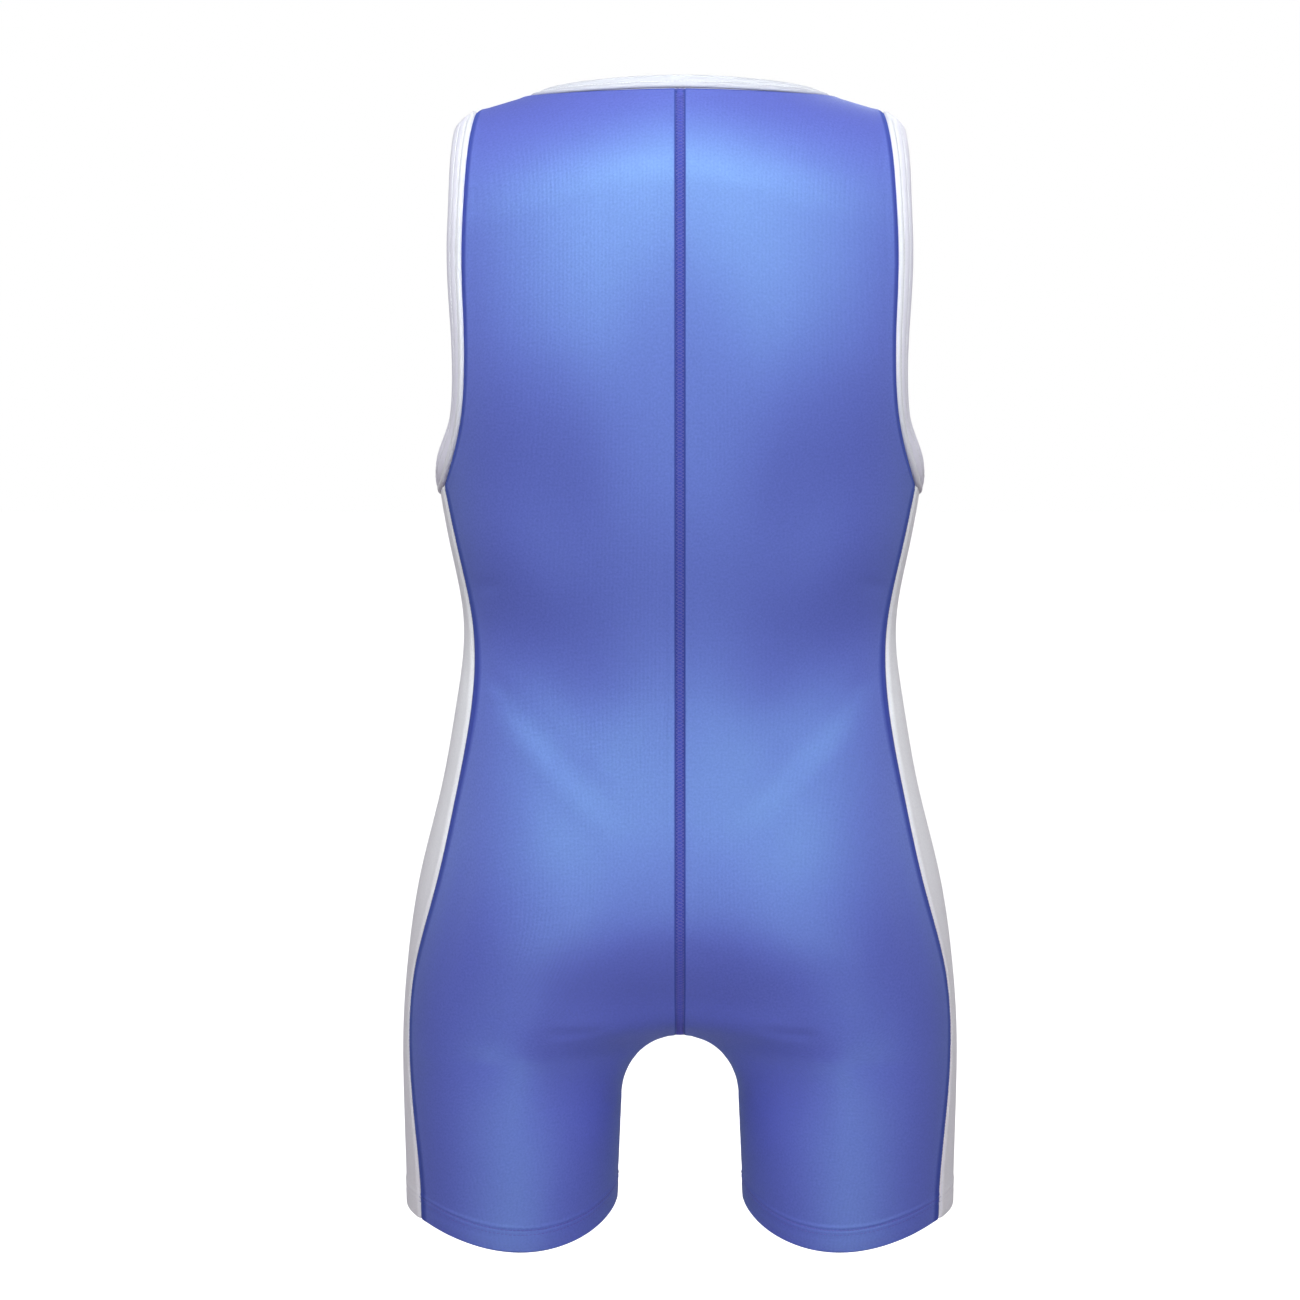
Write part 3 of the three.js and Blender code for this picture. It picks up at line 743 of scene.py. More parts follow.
def add_cloth(name, grids, material):
    """A thin closed wall from grids of spots: its outer face, its inner face and a rim round both."""
    stack = {}
    for key in ("outer", "inner", "uv", "seam", "band"):
        flat = [grid[key].reshape(grid["seam"].size, -1) for grid in grids]
        stack[key] = np.concatenate(flat)
    rounded = np.round(stack["outer"], 3) + 0.0
    _, first, number = np.unique(rounded, axis=0, return_index=True, return_inverse=True)
    number = number.ravel()
    quads, uvs, start = [], [], 0
    for grid in grids:
        rows, columns = grid["seam"].shape
        place = start + np.arange(rows * columns).reshape(rows, columns)
        around = (place[:-1, :-1], place[1:, :-1], place[1:, 1:], place[:-1, 1:])
        quad = np.stack(around, -1).reshape(-1, 4)
        if grid["flip"]:
            quad = quad[:, ::-1]
        quads.append(number[quad])
        uvs.append(stack["uv"][quad])
        start += rows * columns
    quads, uvs = np.concatenate(quads), np.concatenate(uvs)
    count = len(first)
    starts = quads.ravel()
    ends = np.roll(quads, -1, axis=1).ravel()
    open_edge = ~np.isin(starts * count + ends, ends * count + starts)
    p, q = starts[open_edge], ends[open_edge]
    p_uv = uvs.reshape(-1, 2)[open_edge]
    q_uv = np.roll(uvs, -1, axis=1).reshape(-1, 2)[open_edge]
    rim = np.stack([q, p, p + count, q + count], -1)
    rim_uv = np.stack([q_uv, p_uv, p_uv, q_uv], 1)
    points = np.concatenate([stack["outer"][first], stack["inner"][first]])
    values = {key: np.tile(stack[key][first].ravel(), 2) for key in ("seam", "band")}
    all_quads = np.concatenate([quads, quads[:, ::-1] + count, rim])
    all_uvs = np.concatenate([uvs, uvs[:, ::-1], rim_uv])
    return add_piece(name, points, all_quads, all_uvs, values, material)


def mirrored(grid):
    """The same cloth on the left half."""
    turned = dict(grid)
    for key in ("outer", "inner", "uv"):
        turned[key] = grid[key] * ([-1, 1, 1] if key != "uv" else [-1, 1])
    turned["flip"] = not grid["flip"]
    return turned


def half_panel(face, lines):
    turn, down, length, fraction = panel_grid(face)
    point, normal = cloth_spot(face, turn, down)
    hem = hem_down_at(face, fraction) - down
    grid = clothe(face, point, normal, down, hem, lines, face == BACK)
    # The navy edge and painted groove shade reach further from the side and armhole seams.
    for line, share in ((side_line[face], SIDE_SEAM_SHADE_SHARE), (armhole_line, ARM_SEAM_SHADE_SHARE)):
        grid["seam"] = np.minimum(grid["seam"], line.distance(point) * share)
    unrolled = shoulder_turn_at(down) * SHOULDER_DROP
    grid["uv"] = np.stack([length, -unrolled], -1)
    grid["flip"] = False
    return grid


def strap_end():
    """The back panel's short run over the crest, to its seam in front."""
    fraction = panel_grid(BACK)[3]
    on_strap = fraction[0] >= STRAP_BEGINS - 1e-9
    x = column_top(BACK, fraction[0][on_strap])[0]
    steps = np.linspace(0, STRAP_SEAM_TURN - SEAM_GAP / SHOULDER_DROP, 8)
    down = np.broadcast_to(down_at_turn(steps)[:, None], (len(steps), len(x)))
    x = np.minimum(x, armhole_x[FRONT](down))
    turn = turn_at_x(FRONT, x, down)
    point, normal = cloth_spot(FRONT, turn, down)
    grid = clothe(FRONT, point, normal, down, np.full(down.shape, FAR), seam_lines[BACK], False)
    lengths = length_at_turn(section_lengths(FRONT, down), turn)
    grid["uv"] = np.stack([lengths, np.broadcast_to(steps[:, None] * SHOULDER_DROP, down.shape)], -1)
    grid["flip"] = True
    return grid


# The knit: fine courses and wales, with an uneven tone where the threads lie closer. Its bump is in
# metres, and its pattern follows the cloth by the piece's own UV map, which is in metres too.
BLUE_DEEP = (0.086, 0.088, 0.45, 1)
BLUE_PALE = (0.120, 0.127, 0.56, 1)
# The seams' dark navy edge, with painted shade of the groove the cloth sinks into there.
NAVY_AND_SEAM_SHADE = (0.035, 0.02, 0.34, 1)
BAND_DEEP = (0.025, 0.018, 0.28, 1)
BAND_PALE = (0.06, 0.05, 0.41, 1)
SEWN_ROUGHNESS = 0.95
ROUGHNESS_SPREAD = 0.06
BUMP_DEPTH = 0.00012
LOOP_SLANT = 2.2
LOOP_SHARE = 0.5
SPECKLE_SHARE = 1.4
CLOUD_SCALE = 160.0
CLOUD_SHARE = 0.12


def feed(tree, node, inputs):
    """Link the outputs of other nodes to a node's sockets, or set their values."""
    for key, value in inputs.items():
        if isinstance(value, bpy.types.NodeSocket):
            tree.links.new(value, node.inputs[key])
        else:
            node.inputs[key].default_value = value


def add_node(tree, kind, inputs=None, **settings):
    made = tree.nodes.new(kind)
    for key, value in settings.items():
        setattr(made, key, value)
    feed(tree, made, inputs or {})
    return made


def calculate(tree, operation, *values):
    return add_node(tree, "ShaderNodeMath", dict(enumerate(values)), operation=operation).outputs[0]


def build_knit_group():
    """Height of the loops and an uneven tone from 0 to 1, for cloth with its UV map in metres."""
    tree = bpy.data.node_groups.new("stretch_knit", "ShaderNodeTree")
    interface = tree.interface
    interface.new_socket("Cloth", in_out="INPUT", socket_type="NodeSocketVector")
    for name, value in (("Wale", 0.0009), ("Course", 0.0008), ("Mottle", 0.0016)):
        interface.new_socket(name, in_out="INPUT", socket_type="NodeSocketFloat").default_value = value
    interface.new_socket("Height", in_out="OUTPUT", socket_type="NodeSocketFloat")
    interface.new_socket("Tone", in_out="OUTPUT", socket_type="NodeSocketFloat")
    given = tree.nodes.new("NodeGroupInput").outputs
    result = tree.nodes.new("NodeGroupOutput").inputs
    place = add_node(tree, "ShaderNodeSeparateXYZ", {0: given["Cloth"]}).outputs
    turn = 2 * math.pi
    wale = calculate(tree, "MULTIPLY", calculate(tree, "DIVIDE", place["X"], given["Wale"]), turn)
    course = calculate(tree, "MULTIPLY", calculate(tree, "DIVIDE", place["Y"], given["Course"]), turn)
    rib = calculate(tree, "COSINE", wale)
    legs = calculate(tree, "MULTIPLY_ADD", calculate(tree, "ABSOLUTE", rib), LOOP_SLANT, course)
    loop = calculate(tree, "MULTIPLY_ADD", calculate(tree, "SINE", legs), LOOP_SHARE, rib)
    speckle = add_node(
        tree,
        "ShaderNodeTexNoise",
        {
            "Vector": given["Cloth"],
            "Scale": calculate(tree, "DIVIDE", 1.0, given["Mottle"]),
            "Detail": 3.0,
            "Roughness": 0.6,
        },
    )
    cloud = add_node(
        tree, "ShaderNodeTexNoise", {"Vector": given["Cloth"], "Scale": CLOUD_SCALE, "Detail": 1.0}
    )
    mixed = calculate(tree, "MULTIPLY_ADD", cloud.outputs["Fac"], CLOUD_SHARE, speckle.outputs["Fac"])
    spread = add_node(tree, "ShaderNodeMapRange", {"Value": mixed, "From Min": 0.3, "From Max": 0.82})
    uneven = calculate(tree, "MULTIPLY_ADD", speckle.outputs["Fac"], SPECKLE_SHARE, loop)
    tree.links.new(uneven, result["Height"])
    tree.links.new(spread.outputs["Result"], result["Tone"])
    return tree


knit_group = build_knit_group()


def start_cloth_material(name, sheen, sheen_tint, roughness, bump):
    """A cloth material with the knit's bump on it. The caller links its colour."""
    material = bpy.data.materials.new(name)
    material.use_nodes = True
    tree = material.node_tree
    shader = tree.nodes["Principled BSDF"]
    shader.inputs["Sheen Weight"].default_value = sheen
    shader.inputs["Sheen Roughness"].default_value = 0.35
    shader.inputs["Sheen Tint"].default_value = sheen_tint
    shader.inputs["Specular IOR Level"].default_value = 0.4
    cloth = tree.nodes.new("ShaderNodeUVMap")
    cloth.uv_map = "knit"
    knit = add_node(tree, "ShaderNodeGroup", node_tree=knit_group)
    tree.links.new(cloth.outputs["UV"], knit.inputs["Cloth"])
    relief = add_node(
        tree,
        "ShaderNodeBump",
        {"Strength": bump, "Distance": BUMP_DEPTH, "Height": knit.outputs["Height"]},
    )
    tree.links.new(relief.outputs["Normal"], shader.inputs["Normal"])
    rough = add_node(tree, "ShaderNodeMapRange", {"Value": knit.outputs["Tone"]})
    rough.inputs["To Min"].default_value = roughness + ROUGHNESS_SPREAD
    rough.inputs["To Max"].default_value = roughness - ROUGHNESS_SPREAD
    tree.links.new(rough.outputs["Result"], shader.inputs["Roughness"])
    return material, tree, shader, knit


def near(tree, attribute, inside, outside):
    """1 closer to a seam than one distance, 0 further from it than another."""
    from_seam = add_node(tree, "ShaderNodeAttribute", attribute_name=attribute)
    fade = add_node(tree, "ShaderNodeMapRange", {"Value": from_seam.outputs["Fac"]})
    fade.inputs["From Min"].default_value = inside
    fade.inputs["From Max"].default_value = outside
    fade.inputs["To Min"].default_value = 1.0
    fade.inputs["To Max"].default_value = 0.0
    return fade.outputs["Result"]


def blend_colours(tree, factor, first, second):
    mix = add_node(tree, "ShaderNodeMix", data_type="RGBA")
    feed(tree, mix, {0: factor, 6: first, 7: second})
    return mix.outputs[2]


blue_knit, tree, shader, knit = start_cloth_material(
    "blue_knit", sheen=0.06, sheen_tint=(0.3, 0.5, 1, 1), roughness=0.5, bump=0.35
)
shader.inputs["Specular IOR Level"].default_value = 1.0
shader.inputs["Specular Tint"].default_value = (0.42, 0.95, 1.0, 1)
shader.inputs["IOR"].default_value = 1.7
cloth_colour = blend_colours(tree, knit.outputs["Tone"], BLUE_DEEP, BLUE_PALE)
on_band = near(tree, "band", inside=0.0034, outside=0.0042)
# Near the seams the blue turns navy: the seam's own dark edge together with painted shade of its
# groove.
on_seam_and_shade = near(tree, "seam", inside=0.0022, outside=0.0036)
on_middle = near(tree, "band", inside=0.0012, outside=0.0022)
sewn_colour = blend_colours(tree, on_middle, BAND_DEEP, BAND_PALE)
band_colour = blend_colours(tree, on_band, cloth_colour, sewn_colour)
seam_and_shade_colour = blend_colours(tree, on_seam_and_shade, band_colour, NAVY_AND_SEAM_SHADE)
tree.links.new(seam_and_shade_colour, shader.inputs["Base Color"])
sewn = calculate(tree, "MAXIMUM", on_band, on_seam_and_shade)
knit_roughness = shader.inputs["Roughness"].links[0].from_socket
rough = add_node(tree, "ShaderNodeMix", {0: sewn, 2: knit_roughness, 3: SEWN_ROUGHNESS})
tree.links.new(rough.outputs[0], shader.inputs["Roughness"])

right_half = half_panel(BACK, seam_lines[BACK])
right_strap = strap_end()
back_right = add_cloth("back_right_cloth", [right_half, right_strap], blue_knit)
back_left = add_cloth("back_left_cloth", [mirrored(right_half), mirrored(right_strap)], blue_knit)
for piece, node in ((back_left, "back_left"), (back_right, "back_right")):
    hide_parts(node)
    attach(piece, "root")


# Front panel. One piece of the same blue knit, with both straps, the scoop of the neck and the fronts
# of both legs, cut to the same form and sewn to the backs at the straps and the inner legs.
front_half = half_panel(FRONT, seam_lines[FRONT])
front_half["flip"] = True
front = add_cloth("front_cloth", [front_half, mirrored(front_half)], blue_knit)
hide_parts("front")
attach(front, "root")


# Side panels. Two narrow pieces of white knit from under the arm to the leg hem, widest at the hips,
# each sewn to the back and the front with a flat seam.
WHITE_PALE = (0.93, 0.93, 0.94, 1)
WHITE_DEEP = (0.84, 0.84, 0.86, 1)
white_knit, tree, shader, knit = start_cloth_material(
    "white_knit", sheen=0.15, sheen_tint=(1, 1, 1, 1), roughness=0.6, bump=0.3
)
cloth_colour = blend_colours(tree, knit.outputs["Tone"], WHITE_DEEP, WHITE_PALE)
tree.links.new(cloth_colour, shader.inputs["Base Color"])

SIDE_COLUMNS = 34
COLUMN_CROWDING = 0.09
DIP_FADES_IN = 96


def side_panel():
    downs = row_downs(BACK, np.array([1.0]))[len(EDGE_STEPS) + ROWS_TO_ARMPIT - 1 :, 0]
    even = np.linspace(0, 1, SIDE_COLUMNS + 1)
    across = even - COLUMN_CROWDING * np.sin(2 * math.pi * even)
    across, down = np.meshgrid(across, downs)
    dip = ARMPIT_DIP * np.sin(math.pi * across) * np.clip(1 - (down - ARMPIT_DOWN) / DIP_FADES_IN, 0, 1)
    hem = HEM_DOWN - down
    down = down + dip
    behind, turn, length = side_places(across, down, SEAM_GAP / 2)
    point, normal = side_spot(behind, turn, down)
    grid = clothe(None, point, normal, down, hem, [side_line[BACK], side_line[FRONT]], False)
    grid["uv"] = np.stack([length, -down], -1)
    grid["flip"] = False
    return grid


right_side = side_panel()
for side, grid in (("right", right_side), ("left", mirrored(right_side))):
    piece = add_cloth("side_" + side + "_cloth", [grid], white_knit)
    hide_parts("side_" + side)
    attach(piece, "root")


# Neck binding. A folded strip of white knit round the neck, sewn to its edge and topstitched in a
# groove, so that it lies in two rolls. It stands up a little at the nape.
NECK_BAND_WIDTH = 10
NAPE_BAND_TILT = 0.5
NECK_PROFILE = as_rows(
    "run rise",
    (0.2, -1.2), (0.4, -0.3), (1.0, 0.4), (2.0, 0.75), (3.2, 0.65), (4.1, 0.2),
    (4.5, 0.0), (4.9, 0.15), (5.8, 0.4), (7.2, 0.4), (8.6, 0.2), (9.5, -0.25),
    (9.95, -0.95), (9.6, -1.7), (8.8, -2.1), (6.0, -2.2), (3.0, -2.2), (0.8, -2.0),
)
NECK_MIDDLE = np.array([0, 20, 0])


def band_frames(points, normals, middle, lean):
    """At each place on a ring: the direction in which the band runs on, and the one it faces."""
    edge = np.roll(points, -1, axis=0) - np.roll(points, 1, axis=0)
    away = np.cross(normals, edge)
    away /= np.linalg.norm(away, axis=1, keepdims=True)
    away *= np.where(np.einsum("ij,ij->i", away, middle - points) < 0, -1, 1)[:, None]
    lean = lean[:, None]
    run = away * np.cos(lean) + normals * np.sin(lean)
    face = normals * np.cos(lean) - away * np.sin(lean)
    return run, face


def band_spot(ring, profile_run, profile_rise, width, curl):
    points, run, face = ring
    rise = profile_rise - curl * (profile_run / width) ** 2
    return points + run * profile_run + face * rise


def add_band(name, ring, profile, width, curl, material, mirror):
    rows = []
    for spot in profile:
        rows.append(band_spot(ring, spot["run"], spot["rise"], width, curl))
    points = np.stack(rows, 1)
    places, spots = points.shape[:2]
    along = np.linalg.norm(np.diff(np.concatenate([ring[0], ring[0][:1]]), axis=0), axis=1)
    along = np.concatenate([[0], np.cumsum(along)])
    table = np.array([[spot["run"], spot["rise"]] for spot in profile])
    table = np.concatenate([table, table[:1]])
    around = np.concatenate([[0], np.cumsum(np.linalg.norm(np.diff(table, axis=0), axis=1))])
    i, j = [index.ravel() for index in np.meshgrid(range(places), range(spots), indexing="ij")]
    steps = ((0, 0), (1, 0), (1, 1), (0, 1))
    corners = [((i + a) % places) * spots + (j + b) % spots for a, b in steps]
    uvs = [np.stack([along[i + a], around[j + b]], -1) for a, b in steps]
    flat = points.reshape(-1, 3) * ([-1, 1, 1] if mirror else [1, 1, 1])
    outward = np.tile([spot["run"] for spot in profile], places)
    quads, uvs = np.stack(corners, -1), np.stack(uvs, 1)
    return add_piece(name, flat, quads, uvs, {"strip": outward}, material)


half_points = np.concatenate([back_neck[0], front_neck[0][::-1][1:]])
half_normals = np.concatenate([back_neck[1], front_neck[1][::-1][1:]])
left = np.array([-1, 1, 1])
neck_points = np.concatenate([half_points, half_points[1:-1][::-1] * left])
neck_normals = np.concatenate([half_normals, half_normals[1:-1][::-1] * left])
nape_depth = -neck_points[0, 1]
neck_lean = NAPE_BAND_TILT * np.clip(-neck_points[:, 1] / nape_depth, 0, None)
neck_run, neck_face = band_frames(neck_points, neck_normals, NECK_MIDDLE, neck_lean)
neck_ring = (neck_points, neck_run, neck_face)

BINDING_DEEP = (0.71, 0.70, 0.76, 1)
BINDING_PALE = (0.77, 0.765, 0.80, 1)
# Painted shade: the lavender grey of the binding's outer strip, which turns away from the light.
LAVENDER_PAINTED_SHADE = (0.77, 0.75, 0.84, 1)
# The neck binding is the same white knit, darkened with painted shade because it faces the lights more.
NECK_SHADED_DEEP = (0.53, 0.52, 0.60, 1)
NECK_SHADED_PALE = (0.58, 0.575, 0.63, 1)


def make_binding_material(name, deep, pale, outer):
    material, tree, shader, knit = start_cloth_material(
        name, sheen=0.2, sheen_tint=(1, 1, 1, 1), roughness=0.55, bump=0.25
    )
    cloth_colour = blend_colours(tree, knit.outputs["Tone"], deep, pale)
    # The outer strip is the same white cloth, given painted lavender shade where it turns from the
    # light.
    outer_strip_shade = near(tree, "strip", inside=0.0042, outside=0.0052)
    strip_shade_colour = blend_colours(tree, outer_strip_shade, outer, cloth_colour)
    tree.links.new(strip_shade_colour, shader.inputs["Base Color"])
    return material


white_binding = make_binding_material("white_binding", BINDING_DEEP, BINDING_PALE, LAVENDER_PAINTED_SHADE)
# The neck binding's material: the binding white darkened with painted shade.
neck_binding_shaded = make_binding_material("neck_binding_painted_shade", NECK_SHADED_DEEP, NECK_SHADED_PALE, NECK_SHADED_PALE)

neck_binding = add_band(
    "neck_binding_cloth", neck_ring, NECK_PROFILE, NECK_BAND_WIDTH, 0.0, neck_binding_shaded, False
)
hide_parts("neck_binding")
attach(neck_binding, "root")


# Armhole bindings. A wider folded strip of the same white knit round each armhole, sewn and rolled
# in the same way. It curls in towards the arm and stands off a little under it.
ARM_BAND_WIDTH = 18
ARM_BAND_CURL = 6.5
UNDER_ARM_LEAN = 0.34
UNDER_ARM_BEGINS = 225
ARM_PROFILE = as_rows(
    "run rise",
    (0.2, -1.2), (0.4, -0.3), (1.1, 0.55), (2.2, 0.95), (3.6, 0.85), (4.6, 0.35),
    (5.1, 0.0), (5.6, 0.2), (7.0, 0.45), (9.2, 0.45), (10.8, 0.2), (11.4, 0.0),
    (12.0, 0.15), (14.0, 0.3), (16.2, 0.15), (17.5, -0.35), (17.95, -1.1), (17.5, -1.8),
    (16.0, -2.2), (11.0, -2.2), (6.0, -2.2), (1.0, -2.0),
)
ARMHOLE_MIDDLE = np.array([150, 0, -140])

arm_lean = UNDER_ARM_LEAN * smooth_step(UNDER_ARM_BEGINS, ARMPIT_DOWN, -armhole_points[:, 2])
arm_run, arm_face = band_frames(armhole_points, armhole_normals, ARMHOLE_MIDDLE, arm_lean)
armhole_ring = (armhole_points, arm_run, arm_face)
for side, mirror in (("right", False), ("left", True)):
    piece = add_band(
        "armhole_binding_" + side + "_cloth",
        armhole_ring,
        ARM_PROFILE,
        ARM_BAND_WIDTH,
        ARM_BAND_CURL,
        white_binding,
        mirror,
    )
    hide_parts("armhole_binding_" + side)
    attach(piece, "root")


# Stitching. Fine polyester thread: a flat cover seam down the middle of the back, twin rows round
# each hem and armhole, one round the neck, and rows beside every other seam. Each stitch is a short
# bowed thread.
THREAD_RADIUS = 0.24
STITCH_HEIGHT = 0.22
STITCH_SCALE = (0.86, 1.08)
NEEDLE_ROW_SHIFT = 2.7
COVER_WIDTH = 5.2
SIDE_ROW_AWAY = 1.6
SIDE_ROW_SINK = 0.35
INSEAM_ROW_AWAY = 1.7
INSEAM_ROW_SINK = 0.3
STRAP_ROW_SHIFT = 0.35
STRAP_ROW_SINK = 0.2
BAND_ROW_LIFT = 0.05
NECK_ROW_RUN = 4.5
ARM_ROW_RUNS = (5.1, 11.4)


def build_stitch_tree():
    """Stitches along lines that carry the cloth's outward direction, all sizes in metres."""
    tree = bpy.data.node_groups.new("stitches_along_seam", "GeometryNodeTree")
    interface = tree.interface
    interface.new_socket("Geometry", in_out="INPUT", socket_type="NodeSocketGeometry")
    for name in ("Pitch", "Stitch Length", "Stitch Width", "Stitch Height", "Thread Radius"):
        interface.new_socket(name, in_out="INPUT", socket_type="NodeSocketFloat")
    interface.new_socket("Thread", in_out="INPUT", socket_type="NodeSocketMaterial")
    interface.new_socket("Seed", in_out="INPUT", socket_type="NodeSocketInt")
    interface.new_socket("Geometry", in_out="OUTPUT", socket_type="NodeSocketGeometry")
    given = tree.nodes.new("NodeGroupInput").outputs
    result = tree.nodes.new("NodeGroupOutput").inputs
    curve = add_node(tree, "GeometryNodeMeshToCurve", {"Mesh": given["Geometry"]})
    places = add_node(tree, "GeometryNodeResampleCurve", mode="LENGTH")
    tree.links.new(curve.outputs["Curve"], places.inputs["Curve"])
    tree.links.new(given["Pitch"], places.inputs["Length"])
    half_length = calculate(tree, "MULTIPLY", given["Stitch Length"], 0.5)
    half_width = calculate(tree, "MULTIPLY", given["Stitch Width"], 0.5)
    end = add_node(tree, "ShaderNodeCombineXYZ", {"X": half_length, "Y": half_width})
    start = add_node(
        tree,
        "ShaderNodeCombineXYZ",
        {
            "X": calculate(tree, "MULTIPLY", half_length, -1.0),
            "Y": calculate(tree, "MULTIPLY", half_width, -1.0),
        },
    )
    crest = add_node(
        tree, "ShaderNodeCombineXYZ", {"Z": calculate(tree, "MULTIPLY", given["Stitch Height"], 2.0)}
    )
    bow = add_node(
        tree,
        "GeometryNodeCurveQuadraticBezier",
        {"Resolution": 4, "Start": start.outputs[0], "Middle": crest.outputs[0], "End": end.outputs[0]},
    )
    round_thread = add_node(
        tree, "GeometryNodeCurvePrimitiveCircle", {"Resolution": 5, "Radius": given["Thread Radius"]}
    )
    stitch = add_node(
        tree,
        "GeometryNodeCurveToMesh",
        {"Curve": bow.outputs[0], "Profile Curve": round_thread.outputs["Curve"], "Fill Caps": True},
    )
    outward = add_node(
        tree, "GeometryNodeInputNamedAttribute", {"Name": "outward"}, data_type="FLOAT_VECTOR"
    )
    lie = add_node(
        tree,
        "FunctionNodeAxesToRotation",
        {
            "Primary Axis": outward.outputs["Attribute"],
            "Secondary Axis": tree.nodes.new("GeometryNodeInputTangent").outputs["Tangent"],
        },
        primary_axis="Z",
        secondary_axis="X",
    )
    least, most = STITCH_SCALE
    uneven = add_node(
        tree,
        "FunctionNodeRandomValue",
        {"Min": least, "Max": most, "Seed": given["Seed"]},
        data_type="FLOAT",
    )
    stitches = add_node(
        tree,
        "GeometryNodeInstanceOnPoints",
        {
            "Points": places.outputs["Curve"],
            "Instance": stitch.outputs["Mesh"],
            "Rotation": lie.outputs["Rotation"],
            "Scale": uneven.outputs["Value"],
        },
    )
    real = add_node(tree, "GeometryNodeRealizeInstances", {"Geometry": stitches.outputs["Instances"]})
    smooth = add_node(tree, "GeometryNodeSetShadeSmooth", {"Geometry": real.outputs["Geometry"]})
    dyed = add_node(
        tree,
        "GeometryNodeSetMaterial",
        {"Geometry": smooth.outputs["Geometry"], "Material": given["Thread"]},
    )
    tree.links.new(dyed.outputs["Geometry"], result["Geometry"])
    return tree


stitch_tree = build_stitch_tree()
stitch_inputs = {
    item.name: item.identifier for item in stitch_tree.interface.items_tree if item.in_out == "INPUT"
}


def make_thread(name, deep, pale):
    """Thread with a fine grain of two tones and a low bump."""
    material = bpy.data.materials.new(name)
    material.use_nodes = True
    tree = material.node_tree
    shader = tree.nodes["Principled BSDF"]
    shader.inputs["Roughness"].default_value = 0.5
    shader.inputs["Sheen Weight"].default_value = 0.2
    place = tree.nodes.new("ShaderNodeTexCoord")
    grain = add_node(
        tree, "ShaderNodeTexNoise", {"Vector": place.outputs["Object"], "Scale": 2400.0, "Detail": 1.0}
    )
    colour = blend_colours(tree, grain.outputs["Fac"], deep, pale)
    tree.links.new(colour, shader.inputs["Base Color"])
    relief = add_node(
        tree, "ShaderNodeBump", {"Strength": 0.3, "Distance": 0.0001, "Height": grain.outputs["Fac"]}
    )
    tree.links.new(relief.outputs["Normal"], shader.inputs["Normal"])
    return material


def sew(name, runs):
    """One piece of stitches: each run has its lines, thread and sizes in millimetres."""
    parts = []
    for seed, run in enumerate(runs):
        vertices, edges, outward = [], [], []
        for points, normals in run["lines"]:
            first = len(vertices)
            vertices += (points / MM_PER_METRE).tolist()
            outward += normals.tolist()
            edges += [(first + i, first + i + 1) for i in range(len(points) - 1)]
        mesh = bpy.data.meshes.new(name + "_line")
        mesh.from_pydata(vertices, edges, [])
        attribute = mesh.attributes.new("outward", "FLOAT_VECTOR", "POINT")
        attribute.data.foreach_set("vector", np.array(outward, np.float32).ravel())
        line = bpy.data.objects.new(name + "_line", mesh)
        bpy.context.scene.collection.objects.link(line)
        modifier = line.modifiers.new("stitches", "NODES")
        modifier.node_group = stitch_tree
        modifier[stitch_inputs["Pitch"]] = run["pitch"] / MM_PER_METRE
        modifier[stitch_inputs["Stitch Length"]] = run["length"] / MM_PER_METRE
        modifier[stitch_inputs["Stitch Width"]] = run.get("width", 0) / MM_PER_METRE
        modifier[stitch_inputs["Stitch Height"]] = STITCH_HEIGHT / MM_PER_METRE
        modifier[stitch_inputs["Thread Radius"]] = THREAD_RADIUS / MM_PER_METRE
        modifier[stitch_inputs["Thread"]] = run["thread"]
        modifier[stitch_inputs["Seed"]] = seed
        seen = line.evaluated_get(bpy.context.evaluated_depsgraph_get())
        parts.append(bpy.data.meshes.new_from_object(seen))
        bpy.data.objects.remove(line)
        bpy.data.meshes.remove(mesh)
    holders = [bpy.data.objects.new(name, part) for part in parts]
    for holder in holders:
        bpy.context.scene.collection.objects.link(holder)
    piece = holders[0]
    if len(holders) > 1:
        with bpy.context.temp_override(
            active_object=piece, selected_editable_objects=holders, object=piece
        ):
            bpy.ops.object.join()
    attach(piece, "root")


def both_halves(lines):
    return lines + [(points * left, normals * left) for points, normals in lines]


def raised(face, turn, down, lift):
    point, normal = cloth_spot(face, turn, down)
    lifted = soft_folds(face, point, seam_distance(point, seam_lines[face])) + lift
    return point + normal * lifted[..., None], normal


def beside_side_seam(face, away):
    downs = np.linspace(ARMPIT_DOWN + 3, HEM_DOWN - 1, 220)
    length = panel_edge_length(face, downs) - away
    turn = turn_at_length(section_lengths(face, downs), length)
    return raised(face, turn, downs, -SIDE_ROW_SINK)


def hem_row(face, row):
    fraction = np.linspace(0.004, 0.996, 90)
    downs = hem_down_at(face, fraction) - row
    length = fraction * panel_edge_length(face, downs)
    turn = turn_at_length(section_lengths(face, downs), length)
    return raised(face, turn, downs, HEM_PROUD - HEM_ROW_DEPTH)


def side_hem_row(row):
    across = np.linspace(0.02, 0.98, 30)
    downs = np.full_like(across, HEM_DOWN - row)
    behind, turn, _ = side_places(across, downs, 0.0)
    point, normal = side_spot(behind, turn, downs)
    return point + normal * (HEM_PROUD - HEM_ROW_DEPTH), normal


def closed(line):
    return [np.concatenate([part, part[:1]]) for part in line]


def along_band(ring, run, rise, width, curl):
    return closed((band_spot(ring, run, rise, width, curl), ring[2]))


navy_thread = make_thread("navy_thread", (0.03, 0.035, 0.2, 1), (0.06, 0.07, 0.3, 1))
violet_thread = make_thread("violet_thread", (0.05, 0.05, 0.32, 1), (0.12, 0.125, 0.5, 1))
white_thread = make_thread("white_thread", (0.7, 0.7, 0.74, 1), (0.86, 0.86, 0.88, 1))

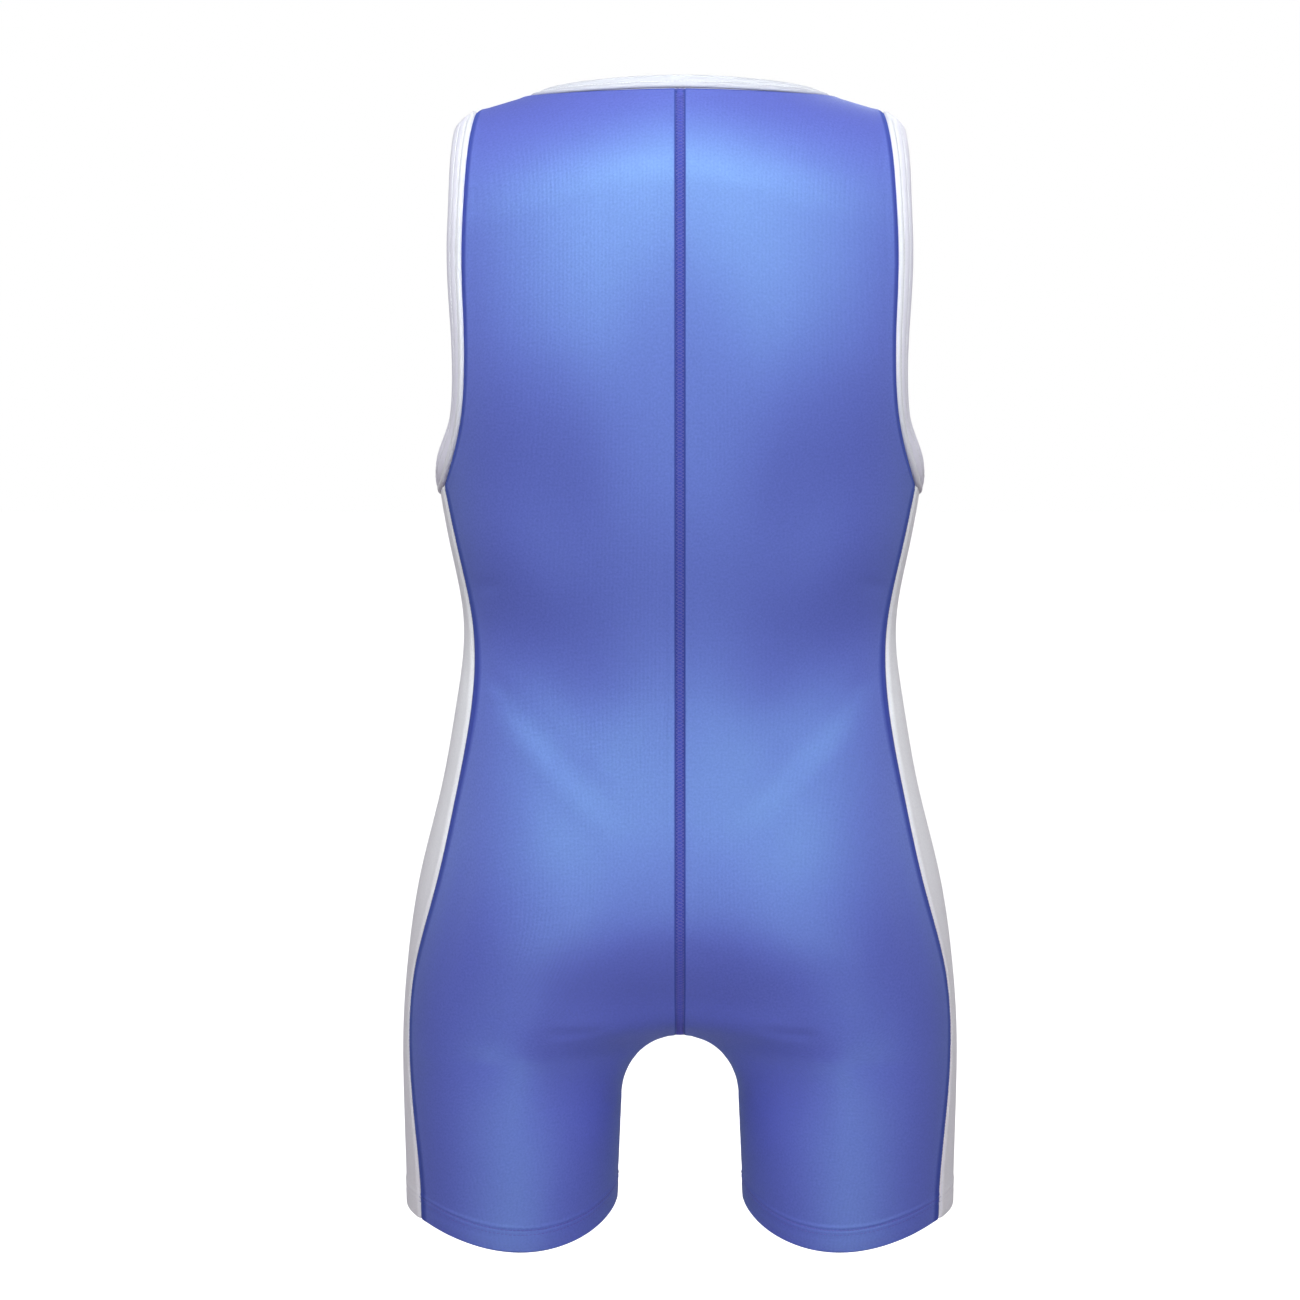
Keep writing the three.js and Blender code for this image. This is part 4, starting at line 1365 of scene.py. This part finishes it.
middle_top = float(down_at_turn(column_top(BACK, np.array(0.0))[1]))
middle_downs = np.linspace(middle_top + 1, CROTCH_DOWN - 0.5, 260)
middle_turns = turn_at_length(section_lengths(BACK, middle_downs), np.zeros_like(middle_downs))
middle_row = raised(BACK, middle_turns, middle_downs, -MIDDLE_SINK)
needle_rows = []
for shift in (-NEEDLE_ROW_SHIFT, NEEDLE_ROW_SHIFT):
    needle_rows.append((middle_row[0] + [shift, 0, 0], middle_row[1]))
middle_runs = [dict(lines=needle_rows, thread=navy_thread, pitch=2.5, length=2.3)]
for width in (COVER_WIDTH, -COVER_WIDTH):
    middle_runs.append(
        dict(lines=[middle_row], thread=violet_thread, pitch=2.5, length=2.3, width=width)
    )
sew("middle_seam_stitching", middle_runs)

seam_rows = [beside_side_seam(face, SIDE_ROW_AWAY) for face in (BACK, FRONT)]
hem_rows = [hem_row(face, row) for face in (BACK, FRONT) for row in HEM_ROWS]
white_hem_rows = [side_hem_row(row) for row in HEM_ROWS]
neck_row = along_band(neck_ring, NECK_ROW_RUN, BAND_ROW_LIFT, NECK_BAND_WIDTH, 0.0)
arm_rows = [
    along_band(armhole_ring, run, BAND_ROW_LIFT, ARM_BAND_WIDTH, ARM_BAND_CURL)
    for run in ARM_ROW_RUNS
]
strap_turns = turn_at_x(FRONT, strap_seam_x, strap_seam_down)
strap_and_leg_rows = []
for shift in (-STRAP_ROW_SHIFT, STRAP_ROW_SHIFT):
    down = strap_seam_down + shift
    strap_and_leg_rows.append(raised(FRONT, strap_turns, down, -STRAP_ROW_SINK))
inseam_downs = CROTCH_DOWN + (HEM_DOWN - CROTCH_DOWN - 1) * np.linspace(0.02, 1, 60) ** 2
inseam_away = np.full_like(inseam_downs, INSEAM_ROW_AWAY)
for face in (BACK, FRONT):
    inner_turn = turn_at_length(section_lengths(face, inseam_downs), inseam_away)
    strap_and_leg_rows.append(raised(face, inner_turn, inseam_downs, -INSEAM_ROW_SINK))

for name, slot, rows, thread, pitch, length in (
    ("side_seam", "blue_knit", both_halves(seam_rows), navy_thread, 2.4, 2.2),
    ("hem", "blue_knit", both_halves(hem_rows), violet_thread, 2.8, 2.3),
    ("side_hem", "white_knit", both_halves(white_hem_rows), white_thread, 2.8, 2.3),
    ("binding", "white_binding", [neck_row] + both_halves(arm_rows), white_thread, 2.6, 2.2),
    ("strap_and_leg_seam", "blue_knit", both_halves(strap_and_leg_rows), navy_thread, 2.4, 2.2),
):
    run = dict(lines=rows, thread=thread, pitch=pitch, length=length)
    sew(name + "_stitching", [run])
